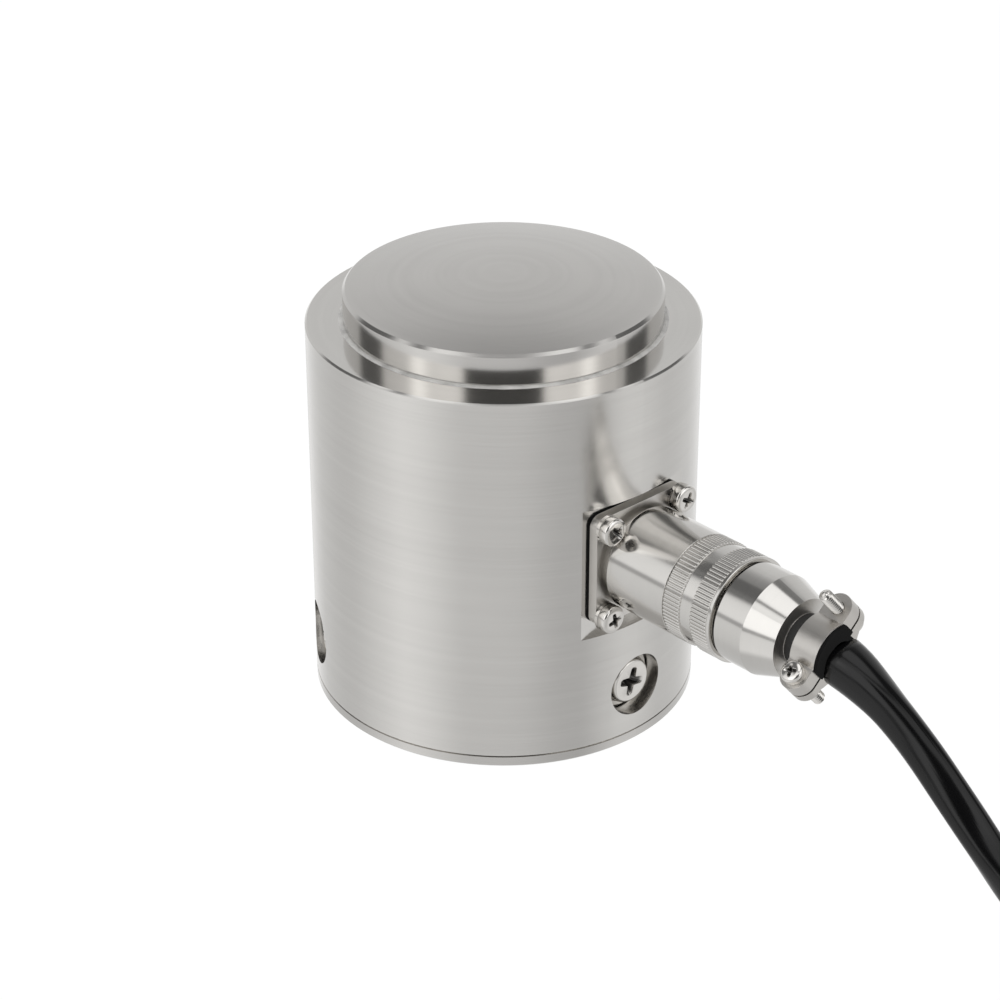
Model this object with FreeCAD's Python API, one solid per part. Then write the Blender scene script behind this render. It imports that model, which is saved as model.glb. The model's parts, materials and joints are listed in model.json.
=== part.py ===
import FreeCAD, Part
import math
import os

# Compression load cell with a plug-in signal cable, in millimetres.
# The cell stands on the plane Z = 0 with its loading axis on +Z, and the connector points along +X.
# One column carries the load between the base flange and the domed load button. A tubular shell
# slides over it, is held by three radial screws, and carries the four-pin receptacle. The plug is
# drawn home by a knurled coupling nut, and a split clamp grips the cable behind it.

V = FreeCAD.Vector

# How far a cutter runs past the face that it opens
CUT_PAST = 1.0

# Shares of a cross recess: its slot's width, and its blade's width at the bottom
RECESS_SLOT_SHARE = 0.26
RECESS_TIP_SHARE = 0.2

# Loading column, base and button
BODY_D = 76.0
BASE_FLANGE_H = 2.1
BASE_EDGE = 0.4
SPIGOT_H = 19.9
COLUMN_D = 34.0
COLUMN_FILLET = 5.0
HEAD_T = 18.35
BUTTON_GAP = 0.75
BUTTON_RISE = 6.35
BUTTON_CHAMFER = 0.55
BUTTON_SPHERE_R = 160.0
FLAT_DEPTH = 0.8
FLAT_H = 28.0
FLAT_LOW = 3.0

# Shell
SHELL_TOP_Z = 78.0
SHELL_WALL = 6.5
SHELL_EDGE = 0.35
SPIGOT_CLEARANCE = 0.05
CONNECTOR_Z = 41.3
POCKET_DEPTH = 2.3
POCKET_ABOVE = 13.0
POCKET_BELOW = 14.7

# Radial screws that hold the shell on the spigot
SHELL_SCREW_COUNT = 3
SHELL_SCREW_Z = 12.4
SHELL_SCREW_D = 5.0
SHELL_SCREW_L = 10.0
SHELL_SCREW_HEAD_D = 9.5
SHELL_SCREW_HEAD_H = 3.0
SHELL_SCREW_RECESS = 5.8
COUNTERBORE_D = 12.8
COUNTERBORE_DEPTH = 4.9
SCREW_PASSAGE = 0.25
THREAD_CLEARANCE = 0.05
HOLE_PAST_TIP = 1.0

# Seals
O_RING_GROOVE_DEPTH = 1.6
O_RING_GROOVE_W = 2.6
O_RING_W = 2.3
O_RING_DROP = 3.4
O_RING_CHAMFER = 0.6
SEAL_DEPTH = 2.6
SEAL_LIP = 0.45
SEAL_RISE = 0.7

# Measuring bridge
GAUGE_T = 0.12
AXIAL_GAUGE_W = 6.0
AXIAL_GAUGE_H = 9.0
TRANSVERSE_GAUGE_W = 9.0
TRANSVERSE_GAUGE_H = 6.0
GAUGE_GAP = 2.5
GAUGE_LEAD_D = 0.8
GAUGE_LEAD_LAP = 1.2
BOARD_COLUMN_GAP = 4.0
BOARD_SHELL_GAP = 2.5
BOARD_T = 1.6
STANDOFF_H = 4.0
STANDOFF_ACROSS = 4.5
BOARD_SCREW_D = 2.5
BOARD_SCREW_L = 9.0
BOARD_SCREW_HEAD_D = 4.5
BOARD_SCREW_HEAD_H = 1.8
BOARD_SCREW_RECESS = 2.6
BOARD_SCREW_COUNT = 3
RESISTOR_SIZE = (3.2, 1.6, 0.6)
RESISTOR_COUNT = 6
RESISTOR_FIRST_ANGLE = 202.0
RESISTOR_STEP = 14.0

# Receptacle on the shell
GASKET_T = 0.5
FLANGE_SIZE = 23.2
FLANGE_T = 2.0
FLANGE_CORNER_R = 2.2
FLANGE_HOLE_PITCH = 18.8
FLANGE_SCREW_D = 3.0
FLANGE_SCREW_L = 8.0
FLANGE_SCREW_HEAD_D = 5.5
FLANGE_SCREW_HEAD_H = 2.2
FLANGE_SCREW_RECESS = 3.3
SPRING_WASHER_T = 0.8
SPRING_WASHER_D = 5.4
SPRING_WASHER_GAP = 0.7
BARREL_REAR_D = 16.8
BARREL_REAR_L = 9.2
BARREL_HOLE_CLEARANCE = 0.3
BARREL_FRONT_D = 18.0
BARREL_FRONT_L = 9.8
BARREL_CHAMFER = 0.5
BARREL_BORE_D = 15.2
BARREL_SHOULDER_D = 12.8
BARREL_SHOULDER_L = 3.0
INSULATOR_CLEARANCE = 0.05
INSULATOR_L = 8.0
CONTACT_COUNT = 4
CONTACT_CIRCLE_D = 8.0
PIN_D = 2.0
PIN_REACH = 7.5
CUP_D = 2.6
CUP_BORE_D = 1.6
CUP_DEPTH = 3.0
CUP_L = 5.5
WIRE_D = 1.2
SOLDER_T = 0.5
UPPER_WIRE_DROP = 3.2
LOWER_WIRE_DROP = 1.4

# Plug
NOSE_CLEARANCE = 0.1
NOSE_GAP = 0.9
PLUG_SHELL_BORE_D = 13.4
SHOULDER_GAP = 0.3
SHOULDER_L = 2.0
PLUG_BODY_D = 16.0
PLUG_THREAD_D = 15.2
PLUG_BODY_L = 6.4
PLUG_THREAD_L = 7.2
PLUG_INSULATOR_L = 11.0
SOCKET_D = 3.2
SOCKET_CLEARANCE = 0.05
SOCKET_SET_BACK = 0.2
NUT_D = 20.8
NUT_FRONT_GAP = 1.2
NUT_L = 26.4
NUT_CHAMFER = 0.35
NUT_THREAD_CLEARANCE = 0.1
NUT_LIP_CLEARANCE = 0.2
NUT_LIP_L = 2.8
NUT_REAR_BORE_D = 18.6
KNURL_DEPTH = 0.25
KNURL_COUNT = 80
KNURL_LENGTH = 4.2
KNURL_GROOVE = 2.7
KNURL_GROOVE_DEPTH = 0.35
NUT_RIM = 0.7
RING_T = 1.0
RING_D = 17.8
RING_GAP = 2.0
RING_GROOVE_DEPTH = 0.5

# Cores inside the plug: how close they gather at the cable, and the straight run at each end
GATHER_SHARE = 0.28
GATHER_L = 5.0

# Back shell, bush and split cable clamp
BACK_SHELL_D = 19.6
BACK_SHELL_SKIRT_CLEARANCE = 0.2
BACK_SHELL_GAP = 0.4
BACK_SHELL_STRAIGHT = 6.8
BACK_SHELL_TAPER = 6.2
BACK_SHELL_END_D = 15.4
BACK_SHELL_WALL = 1.2
BACK_SHELL_STEP = 1.0
BACK_SHELL_EDGE = 0.4
BACK_SHELL_END_T = 3.2
NECK_D = 10.0
NECK_L = 4.2
NECK_BEAD_D = 11.0
NECK_BEAD_L = 0.8
CLAMP_GAP = 2.8
CLAMP_L = 5.7
CLAMP_OUTER_D = 13.0
CLAMP_PITCH = 14.2
CLAMP_NEAR_LUG_T = 3.1
CLAMP_FAR_LUG_T = 1.9
CLAMP_SPLIT = 0.5
CLAMP_SPLIT_RISE = 1.0
CLAMP_TILT = 41.5
CLAMP_NECK_CLEARANCE = 0.15
CLAMP_SCREW_D = 2.5
CLAMP_SCREW_L = 11.4
CLAMP_SCREW_HEAD_D = 4.3
CLAMP_SCREW_HEAD_H = 1.9
CLAMP_SCREW_RECESS = 2.5
BUSH_WALL = 1.1
BUSH_L = 10.6
BUSH_PROUD = 0.6
BUSH_COLLAR_D = 12.8
BUSH_COLLAR_W = 10.2

# Signal cable: its route is chosen point by point, and its unseen length is wound into a flat coil
CABLE_D = 6.5
CABLE_POINTS = [
    (78.0, 0.0, 41.3),
    (88.5, 0.0, 41.3),
    (98.4, 0.0, 37.8),
    (107.6, 0.0, 32.2),
    (116.6, 0.0, 24.6),
    (126.5, 0.3, 15.6),
    (138.4, 1.3, 7.0),
    (152.0, 3.1, 3.25),
    (166.0, 4.0, 3.25),
]
COIL_COLUMNS = 3
COIL_ROWS = 4
COIL_MEAN_D = 78.0
COIL_BEVEL = 2.0
COIL_ENTRY_ANGLE = -90.0
COIL_LAST_TURN = 285.0
TIE_ANGLES = (20.0, 130.0)
TIE_SPAN = 6.0
TIE_T = 1.2
TIE_SLACK = 0.3
TIE_HEAD = (3.0, 5.0, 4.6)
CORE_D = 1.3
CORE_TIP_D = 0.9
CORE_TIP_L = 7.0
CORE_TIP_CLEARANCE = 0.1
CORE_LIFT = 0.05
CORE_STEP = 1.55
CORE_START_ANGLE = 0.3

# Levels and radii that follow from the sizes above
BODY_R = BODY_D / 2
SHELL_BORE_R = BODY_R - SHELL_WALL
SPIGOT_R = SHELL_BORE_R - SPIGOT_CLEARANCE
BOARD_INNER_R = COLUMN_D / 2 + BOARD_COLUMN_GAP
BOARD_OUTER_R = SHELL_BORE_R - BOARD_SHELL_GAP
BOARD_MID_R = (BOARD_INNER_R + BOARD_OUTER_R) / 2
SPIGOT_TOP_Z = BASE_FLANGE_H + SPIGOT_H
BUTTON_R = SHELL_BORE_R - BUTTON_GAP
BUTTON_EDGE_Z = SHELL_TOP_Z + BUTTON_RISE
HEAD_UNDERSIDE_Z = BUTTON_EDGE_Z - HEAD_T
O_RING_Z = SPIGOT_TOP_Z - O_RING_DROP
COUNTERBORE_FLOOR_R = BODY_R - COUNTERBORE_DEPTH
POCKET_FACE_X = BODY_R - POCKET_DEPTH
GASKET_FACE_X = POCKET_FACE_X + GASKET_T
FLANGE_FACE_X = GASKET_FACE_X + FLANGE_T
BARREL_REAR_X = GASKET_FACE_X - BARREL_REAR_L
INSULATOR_X = BARREL_REAR_X + BARREL_SHOULDER_L
INSULATOR_END_X = INSULATOR_X + INSULATOR_L
BARREL_END_X = FLANGE_FACE_X + BARREL_FRONT_L
NOSE_X = FLANGE_FACE_X + NOSE_GAP
SHOULDER_X = BARREL_END_X + SHOULDER_GAP
SHOULDER_END_X = SHOULDER_X + SHOULDER_L
PLUG_BODY_END_X = SHOULDER_END_X + PLUG_BODY_L
PLUG_SHELL_END_X = PLUG_BODY_END_X + PLUG_THREAD_L
NUT_FRONT_X = FLANGE_FACE_X + NUT_FRONT_GAP
NUT_END_X = NUT_FRONT_X + NUT_L
NUT_LIP_X = SHOULDER_END_X + SHOULDER_GAP
NUT_LIP_END_X = NUT_LIP_X + NUT_LIP_L
RING_X = NUT_LIP_END_X + SHOULDER_GAP
BACK_SHELL_X = NUT_END_X + BACK_SHELL_GAP
BACK_SHELL_TAPER_X = BACK_SHELL_X + BACK_SHELL_STRAIGHT
BACK_SHELL_END_X = BACK_SHELL_TAPER_X + BACK_SHELL_TAPER
NECK_END_X = BACK_SHELL_END_X + NECK_L
CLAMP_X = BACK_SHELL_END_X + CLAMP_GAP
CLAMP_END_X = CLAMP_X + CLAMP_L
BUSH_R = CABLE_D / 2 + BUSH_WALL
CLAMP_NEAR_LOW = CLAMP_SPLIT_RISE + CLAMP_SPLIT / 2
CLAMP_FAR_LOW = CLAMP_SPLIT / 2 - CLAMP_SPLIT_RISE
BUSH_END_X = CLAMP_END_X + BUSH_PROUD
COIL_HALF_W = COIL_COLUMNS * CABLE_D / 2
COIL_H = COIL_ROWS * CABLE_D
COIL_OUTER_TURN_R = COIL_MEAN_D / 2 + COIL_HALF_W - CABLE_D / 2
COIL_CENTRE = V(CABLE_POINTS[-1][0], CABLE_POINTS[-1][1] + COIL_OUTER_TURN_R, 0)
CONTACT_ANGLES = [360.0 / CONTACT_COUNT * (i + 0.5) for i in range(CONTACT_COUNT)]

X_AXIS = V(1, 0, 0)
Z_AXIS = V(0, 0, 1)
CONNECTOR_ORIGIN = V(0, 0, CONNECTOR_Z)


def closed_face(start, steps):
    """A flat face. A step is a point for a straight side, or (middle, end) for an arc."""
    edges = []
    here = start
    for step in steps:
        if isinstance(step, tuple):
            edges.append(Part.Arc(here, step[0], step[1]).toShape())
            here = step[1]
        else:
            edges.append(Part.LineSegment(here, step).toShape())
            here = step
    edges.append(Part.LineSegment(here, start).toShape())
    return Part.Face(Part.Wire(edges))


def turned_z(points):
    """A solid turned about the Z axis from (radius, height) points."""
    corners = [V(r, 0, z) for r, z in points]
    return closed_face(corners[0], corners[1:]).revolve(V(0, 0, 0), Z_AXIS, 360)


def turned_x(points):
    """A solid turned about the connector axis from (distance, radius) points."""
    corners = [V(x, 0, CONNECTOR_Z + r) for x, r in points]
    return closed_face(corners[0], corners[1:]).revolve(CONNECTOR_ORIGIN, X_AXIS, 360)


def tube_x(start, end, outer_r, inner_r=0.0):
    """A round bar or tube on the connector axis."""
    origin = V(start, 0, CONNECTOR_Z)
    bar = Part.makeCylinder(outer_r, end - start, origin, X_AXIS)
    if inner_r > 0:
        bar = bar.cut(Part.makeCylinder(inner_r, end - start, origin, X_AXIS))
    return bar


def about_z(shape, angle):
    """A copy turned about the loading axis."""
    copy = shape.copy()
    copy.rotate(V(0, 0, 0), Z_AXIS, angle)
    return copy


def aimed(shape, point, direction):
    """A copy of a shape built on +Z, moved to a point and aimed along a direction."""
    copy = shape.copy()
    turn = FreeCAD.Rotation(Z_AXIS, direction)
    copy.Placement = FreeCAD.Placement(point, turn).multiply(copy.Placement)
    return copy


def fused(shapes):
    """One solid from several that touch or overlap."""
    return shapes[0].fuse(shapes[1:]).removeSplitter()


def save(name, shape):
    """Write one node."""
    shape.exportStep("parts/" + name + ".step")


def pan_screw(thread_d, length, head_d, head_h, recess):
    """A pan-head cross-recess screw on +Z: its head rests on Z = 0 and its thread runs down."""
    head_r = head_d / 2
    shoulder = 0.75 * head_h
    side = 0.55 * head_h
    head = turned_z(
        [
            (0, 0),
            (head_r, 0),
            (head_r, side),
            (0.93 * head_r, shoulder),
            (0.72 * head_r, head_h),
            (0, head_h),
        ]
    )
    tip = 0.15 * thread_d
    shank = turned_z(
        [
            (0, 0),
            (thread_d / 2, 0),
            (thread_d / 2, tip - length),
            (thread_d / 2 - tip, -length),
            (0, -length),
        ]
    )
    return fused([head, shank]).cut(cross_recess(recess, 0.6 * head_h, head_h))


def cross_recess(width, depth, top_z):
    """The cutter for a cross recess: two tapered blades."""
    slot = RECESS_SLOT_SHARE * width
    tip = RECESS_TIP_SHARE * width
    high = top_z + CUT_PAST
    low = top_z - depth
    blade = closed_face(
        V(-width / 2, 0, high),
        [V(width / 2, 0, high), V(tip, 0, low), V(-tip, 0, low)],
    ).extrude(V(0, slot, 0))
    blade.translate(V(0, -slot / 2, 0))
    return blade.fuse(about_z(blade, 90))


def drilled(diameter, length, point, direction):
    """A drill that starts at a point and cuts along a direction."""
    return Part.makeCylinder(diameter / 2, length, point, direction)


def square_plate(size, corner_r, start, end):
    """A plate with rounded corners, square to the connector axis."""
    plate = Part.makeBox(end - start, size, size, V(start, -size / 2, CONNECTOR_Z - size / 2))
    along_x = [e for e in plate.Edges if abs(e.tangentAt(e.FirstParameter).x) > 0.9]
    return plate.makeFillet(corner_r, along_x)


def flange_hole_places(x):
    """The four screw places of the receptacle flange."""
    half = FLANGE_HOLE_PITCH / 2
    return [V(x, y, CONNECTOR_Z + z) for y in (-half, half) for z in (-half, half)]


def contact_places(x):
    """Where the four contacts cross a plane square to the connector axis."""
    r = CONTACT_CIRCLE_D / 2
    return [
        V(x, r * math.cos(math.radians(a)), CONNECTOR_Z + r * math.sin(math.radians(a)))
        for a in CONTACT_ANGLES
    ]


def radial(angle):
    """The horizontal direction at an angle from +X."""
    return V(math.cos(math.radians(angle)), math.sin(math.radians(angle)), 0)


def shell_screw_angles():
    """The radial screws: one under the connector, the others evenly round."""
    return [360.0 / SHELL_SCREW_COUNT * i for i in range(SHELL_SCREW_COUNT)]


def column_face_x():
    """How far a gauge flat lies from the loading axis."""
    return COLUMN_D / 2 - FLAT_DEPTH


def column_foot_z():
    """Where the column's lower fillet ends."""
    return SPIGOT_TOP_Z + COLUMN_FILLET


def flat_low_z():
    """Where the gauge flats begin."""
    return column_foot_z() + FLAT_LOW


def make_elastic_element():
    """Base flange, spigot, column and domed load button, turned from one bar."""
    r = COLUMN_D / 2
    f = COLUMN_FILLET
    bow = f * (1 - math.sqrt(0.5))
    dome_r = BUTTON_R - BUTTON_CHAMFER
    crown = BUTTON_SPHERE_R - math.sqrt(BUTTON_SPHERE_R ** 2 - dome_r ** 2)
    half_drop = BUTTON_SPHERE_R - math.sqrt(BUTTON_SPHERE_R ** 2 - dome_r ** 2 / 4)
    top = BUTTON_EDGE_Z + crown
    under = HEAD_UNDERSIDE_Z
    face = closed_face(
        V(0, 0, 0),
        [
            V(BODY_R - BASE_EDGE, 0, 0),
            V(BODY_R, 0, BASE_EDGE),
            V(BODY_R, 0, BASE_FLANGE_H),
            V(SPIGOT_R, 0, BASE_FLANGE_H),
            V(SPIGOT_R, 0, SPIGOT_TOP_Z),
            V(r + f, 0, SPIGOT_TOP_Z),
            (V(r + bow, 0, SPIGOT_TOP_Z + bow), V(r, 0, SPIGOT_TOP_Z + f)),
            V(r, 0, under - f),
            (V(r + bow, 0, under - bow), V(r + f, 0, under)),
            V(BUTTON_R, 0, under),
            V(BUTTON_R, 0, BUTTON_EDGE_Z - BUTTON_CHAMFER),
            V(dome_r, 0, BUTTON_EDGE_Z),
            (V(dome_r / 2, 0, top - half_drop), V(0, 0, top)),
        ],
    )
    element = face.revolve(V(0, 0, 0), Z_AXIS, 360)
    return element.cut(element_cuts())


def element_cuts():
    """The seal groove, gauge flats and tapped holes of the column."""
    low = O_RING_Z - O_RING_GROOVE_W / 2
    floor = SPIGOT_R - O_RING_GROOVE_DEPTH
    groove = turned_z(
        [(floor, low), (BODY_R, low), (BODY_R, low + O_RING_GROOVE_W), (floor, low + O_RING_GROOVE_W)]
    )
    cuts = [groove]
    flat = Part.makeBox(COLUMN_D, COLUMN_D, FLAT_H, V(column_face_x(), -COLUMN_D / 2, flat_low_z()))
    cuts += [about_z(flat, 90 * i) for i in range(4)]
    reach = SHELL_SCREW_L + HOLE_PAST_TIP
    for angle in shell_screw_angles():
        mouth = radial(angle) * BODY_R + V(0, 0, SHELL_SCREW_Z)
        depth = BODY_R - COUNTERBORE_FLOOR_R + reach
        cuts.append(drilled(SHELL_SCREW_D + 2 * THREAD_CLEARANCE, depth, mouth, radial(angle) * -1))
    for place in board_screw_places(SPIGOT_TOP_Z):
        depth = BOARD_SCREW_L - STANDOFF_H - BOARD_T + HOLE_PAST_TIP
        cuts.append(drilled(BOARD_SCREW_D + 2 * THREAD_CLEARANCE, depth, place, Z_AXIS * -1))
    return cuts


def make_shell():
    """The tubular shell with its connector pocket, counterbores and tapped holes."""
    e = SHELL_EDGE
    shell = turned_z(
        [
            (SHELL_BORE_R, BASE_FLANGE_H),
            (BODY_R - e, BASE_FLANGE_H),
            (BODY_R, BASE_FLANGE_H + e),
            (BODY_R, SHELL_TOP_Z - e),
            (BODY_R - e, SHELL_TOP_Z),
            (SHELL_BORE_R, SHELL_TOP_Z),
        ]
    )
    return shell.cut(shell_cuts())


def shell_cuts():
    """The flat pocket, the receptacle's hole and the screw holes."""
    depth = POCKET_DEPTH + CUT_PAST
    low = CONNECTOR_Z - POCKET_BELOW
    cuts = [Part.makeBox(depth, BODY_D, POCKET_BELOW + POCKET_ABOVE, V(POCKET_FACE_X, -BODY_R, low))]
    hole_r = BARREL_REAR_D / 2 + BARREL_HOLE_CLEARANCE
    cuts.append(tube_x(SHELL_BORE_R - SHELL_WALL, BODY_R, hole_r))
    for place in flange_hole_places(BODY_R):
        cuts.append(drilled(FLANGE_SCREW_D + 2 * THREAD_CLEARANCE, 2 * SHELL_WALL, place, X_AXIS * -1))
    for angle in shell_screw_angles():
        out = radial(angle)
        level = V(0, 0, SHELL_SCREW_Z)
        seat = out * COUNTERBORE_FLOOR_R + level
        cuts.append(drilled(COUNTERBORE_D, COUNTERBORE_DEPTH + CUT_PAST, seat, out))
        inside = out * (SHELL_BORE_R - CUT_PAST) + level
        cuts.append(drilled(SHELL_SCREW_D + 2 * SCREW_PASSAGE, SHELL_WALL + CUT_PAST, inside, out))
    return cuts


def make_shell_screws():
    """The three radial screws, heads sunk in their counterbores."""
    screw = pan_screw(
        SHELL_SCREW_D, SHELL_SCREW_L, SHELL_SCREW_HEAD_D, SHELL_SCREW_HEAD_H, SHELL_SCREW_RECESS
    )
    screws = []
    for angle in shell_screw_angles():
        seat = radial(angle) * COUNTERBORE_FLOOR_R + V(0, 0, SHELL_SCREW_Z)
        screws.append(aimed(screw, seat, radial(angle)))
    return Part.makeCompound(screws)


def make_top_seal():
    """The elastic sealing bead between the load button and the shell."""
    edge_r = SHELL_BORE_R + SEAL_LIP
    top = SHELL_TOP_Z
    mid = V((BUTTON_R + edge_r) / 2, 0, top + 0.6 * SEAL_RISE)
    return closed_face(
        V(BUTTON_R, 0, top - SEAL_DEPTH),
        [
            V(SHELL_BORE_R, 0, top - SEAL_DEPTH),
            V(SHELL_BORE_R, 0, top),
            V(edge_r, 0, top),
            (mid, V(BUTTON_R, 0, top + SEAL_RISE)),
        ],
    ).revolve(V(0, 0, 0), Z_AXIS, 360)


def make_base_o_ring():
    """The ring that seals the shell on the spigot, squeezed flat against both."""
    low = O_RING_Z - O_RING_W / 2
    high = O_RING_Z + O_RING_W / 2
    inner = SPIGOT_R - O_RING_GROOVE_DEPTH
    outer = SHELL_BORE_R
    c = O_RING_CHAMFER
    return turned_z(
        [
            (inner, low + c),
            (inner + c, low),
            (outer - c, low),
            (outer, low + c),
            (outer, high - c),
            (outer - c, high),
            (inner + c, high),
            (inner, high - c),
        ]
    )


def gauge_patches(width, height, low_z):
    """One bonded foil patch on each gauge flat."""
    patch = Part.makeBox(GAUGE_T, width, height, V(column_face_x(), -width / 2, low_z))
    return Part.makeCompound([about_z(patch, 90 * i) for i in range(4)])


def transverse_low_z():
    """The lower edge of the transverse gauges."""
    return flat_low_z() + (FLAT_H - AXIAL_GAUGE_H - TRANSVERSE_GAUGE_H - GAUGE_GAP) / 2


def axial_low_z():
    """The lower edge of the axial gauges."""
    return transverse_low_z() + TRANSVERSE_GAUGE_H + GAUGE_GAP


def board_low_z():
    """The underside of the bridge board."""
    return SPIGOT_TOP_Z + STANDOFF_H


def board_screw_places(z):
    """Board screws, halfway between the radial screws."""
    step = 360.0 / BOARD_SCREW_COUNT
    return [radial(step * (i + 0.5)) * BOARD_MID_R + V(0, 0, z) for i in range(BOARD_SCREW_COUNT)]


def make_bridge_board():
    """The ring-shaped circuit board that joins the gauges into a bridge."""
    z = board_low_z()
    board = turned_z(
        [
            (BOARD_INNER_R, z),
            (BOARD_OUTER_R, z),
            (BOARD_OUTER_R, z + BOARD_T),
            (BOARD_INNER_R, z + BOARD_T),
        ]
    )
    passage = BOARD_SCREW_D + 2 * SCREW_PASSAGE
    return board.cut([drilled(passage, BOARD_T, place, Z_AXIS) for place in board_screw_places(z)])


def make_board_standoffs():
    """Hexagonal spacers under the board."""
    spacers = []
    for place in board_screw_places(SPIGOT_TOP_Z):
        corner = STANDOFF_ACROSS / math.sqrt(3)
        ring = [place + radial(60 * i) * corner for i in range(7)]
        spacer = Part.Face(Part.makePolygon(ring)).extrude(V(0, 0, STANDOFF_H))
        bore = drilled(BOARD_SCREW_D + 2 * SCREW_PASSAGE, STANDOFF_H, place, Z_AXIS)
        spacers.append(spacer.cut(bore))
    return Part.makeCompound(spacers)


def make_board_screws():
    """The screws through board and spacers into the spigot."""
    screw = pan_screw(
        BOARD_SCREW_D, BOARD_SCREW_L, BOARD_SCREW_HEAD_D, BOARD_SCREW_HEAD_H, BOARD_SCREW_RECESS
    )
    return Part.makeCompound(
        [aimed(screw, place, Z_AXIS) for place in board_screw_places(board_low_z() + BOARD_T)]
    )


def make_trim_resistors():
    """Compensation resistors on the far side of the board."""
    length, width, height = RESISTOR_SIZE
    chip = Part.makeBox(width, length, height, V(-width / 2, -length / 2, 0))
    chip.translate(V(BOARD_MID_R, 0, board_low_z() + BOARD_T))
    angles = [RESISTOR_FIRST_ANGLE + RESISTOR_STEP * i for i in range(RESISTOR_COUNT)]
    return Part.makeCompound([about_z(chip, angle) for angle in angles])


def bend_radii(points):
    """Each bend of a route: 0.45 of its shorter run, over the tangent of half its turn."""
    radii = []
    for before, here, after in zip(points, points[1:], points[2:]):
        turn = (here - before).getAngle(after - here)
        reach = 0.45 * min((here - before).Length, (after - here).Length)
        radii.append(reach / math.tan(turn / 2))
    return radii


def route_wire(points):
    """Straight runs joined by tangent arcs."""
    edges = []
    here = points[0]
    for before, corner, after in zip(points, points[1:], points[2:]):
        back = (before - corner).normalize()
        ahead = (after - corner).normalize()
        reach = 0.45 * min((before - corner).Length, (after - corner).Length)
        start = corner + back * reach
        end = corner + ahead * reach
        half = (math.pi - back.getAngle(ahead)) / 2
        radius = reach / math.tan(half)
        to_centre = (back + ahead).normalize()
        middle = corner + to_centre * (radius / math.cos(half) - radius)
        edges.append(Part.LineSegment(here, start).toShape())
        edges.append(Part.Arc(start, middle, end).toShape())
        here = end
    edges.append(Part.LineSegment(here, points[-1]).toShape())
    return Part.Wire(edges)


def tube_along(points, diameter):
    """A round bar that follows a route."""
    wire = route_wire(points)
    ring = Part.Wire(Part.makeCircle(diameter / 2, points[0], points[1] - points[0]))
    return wire.makePipeShell([ring], True, False)


def make_gauge_leads():
    """One lead from each pair of gauges down to the board."""
    x = column_face_x() + GAUGE_LEAD_D / 2 + GAUGE_T
    board_z = board_low_z() + BOARD_T + GAUGE_LEAD_D / 2
    low_z = transverse_low_z()
    route = [
        V(x, 0, low_z + GAUGE_LEAD_D),
        V(x, 0, low_z - GAUGE_LEAD_D),
        V(BOARD_INNER_R, 0, board_z),
        V(BOARD_INNER_R + GAUGE_LEAD_LAP, 0, board_z),
    ]
    lead = tube_along(route, GAUGE_LEAD_D)
    return Part.makeCompound([about_z(lead, 90 * i) for i in range(4)])


def make_flange_gasket():
    """The thin rubber gasket under the receptacle flange."""
    gasket = square_plate(FLANGE_SIZE, FLANGE_CORNER_R, POCKET_FACE_X, GASKET_FACE_X)
    cuts = [tube_x(POCKET_FACE_X, GASKET_FACE_X, BARREL_REAR_D / 2 + BARREL_HOLE_CLEARANCE)]
    for place in flange_hole_places(GASKET_FACE_X):
        cuts.append(drilled(FLANGE_SCREW_D + 2 * SCREW_PASSAGE, GASKET_T, place, X_AXIS * -1))
    return gasket.cut(cuts)


def make_receptacle_shell():
    """Square flange, rear barrel and threaded front barrel, one machined piece."""
    flange = square_plate(FLANGE_SIZE, FLANGE_CORNER_R, GASKET_FACE_X, FLANGE_FACE_X)
    rear = tube_x(BARREL_REAR_X, FLANGE_FACE_X, BARREL_REAR_D / 2)
    front = turned_x(
        [
            (GASKET_FACE_X, 0),
            (GASKET_FACE_X, BARREL_FRONT_D / 2),
            (BARREL_END_X - BARREL_CHAMFER, BARREL_FRONT_D / 2),
            (BARREL_END_X, BARREL_FRONT_D / 2 - BARREL_CHAMFER),
            (BARREL_END_X, 0),
        ]
    )
    shell = fused([flange, rear, front])
    cuts = [
        tube_x(BARREL_REAR_X - CUT_PAST, BARREL_END_X, BARREL_SHOULDER_D / 2),
        tube_x(INSULATOR_X, BARREL_END_X + CUT_PAST, BARREL_BORE_D / 2),
    ]
    for place in flange_hole_places(FLANGE_FACE_X):
        cuts.append(drilled(FLANGE_SCREW_D + 2 * SCREW_PASSAGE, FLANGE_T, place, X_AXIS * -1))
    return shell.cut(cuts)


def make_receptacle_insulator():
    """The moulded disc that holds the pins."""
    disc = tube_x(INSULATOR_X, INSULATOR_END_X, BARREL_BORE_D / 2 - INSULATOR_CLEARANCE)
    bore = CUP_D + 2 * THREAD_CLEARANCE
    places = contact_places(INSULATOR_X)
    return disc.cut([drilled(bore, INSULATOR_L, place, X_AXIS) for place in places])


def make_contact_pins():
    """Four pins with solder cups behind."""
    length = CUP_L + INSULATOR_L
    pins = []
    for place in contact_places(INSULATOR_X - CUP_L):
        body = Part.makeCylinder(CUP_D / 2, length, place, X_AXIS)
        nose = Part.makeCylinder(PIN_D / 2, length + PIN_REACH, place, X_AXIS)
        pins.append(fused([body, nose]).cut(drilled(CUP_BORE_D, CUP_DEPTH, place, X_AXIS)))
    return Part.makeCompound(pins)


def make_signal_wires():
    """Four wires from the solder cups down to the board."""
    cup_x = INSULATOR_X - CUP_L
    board_z = board_low_z() + BOARD_T
    wires = []
    for place in contact_places(cup_x + CUP_DEPTH - SOLDER_T):
        drop_x = cup_x - (UPPER_WIRE_DROP if place.z > CONNECTOR_Z else LOWER_WIRE_DROP)
        route = [place, V(drop_x, place.y, place.z), V(drop_x, place.y, board_z)]
        wires.append(tube_along(route, WIRE_D))
    return Part.makeCompound(wires)


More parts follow.
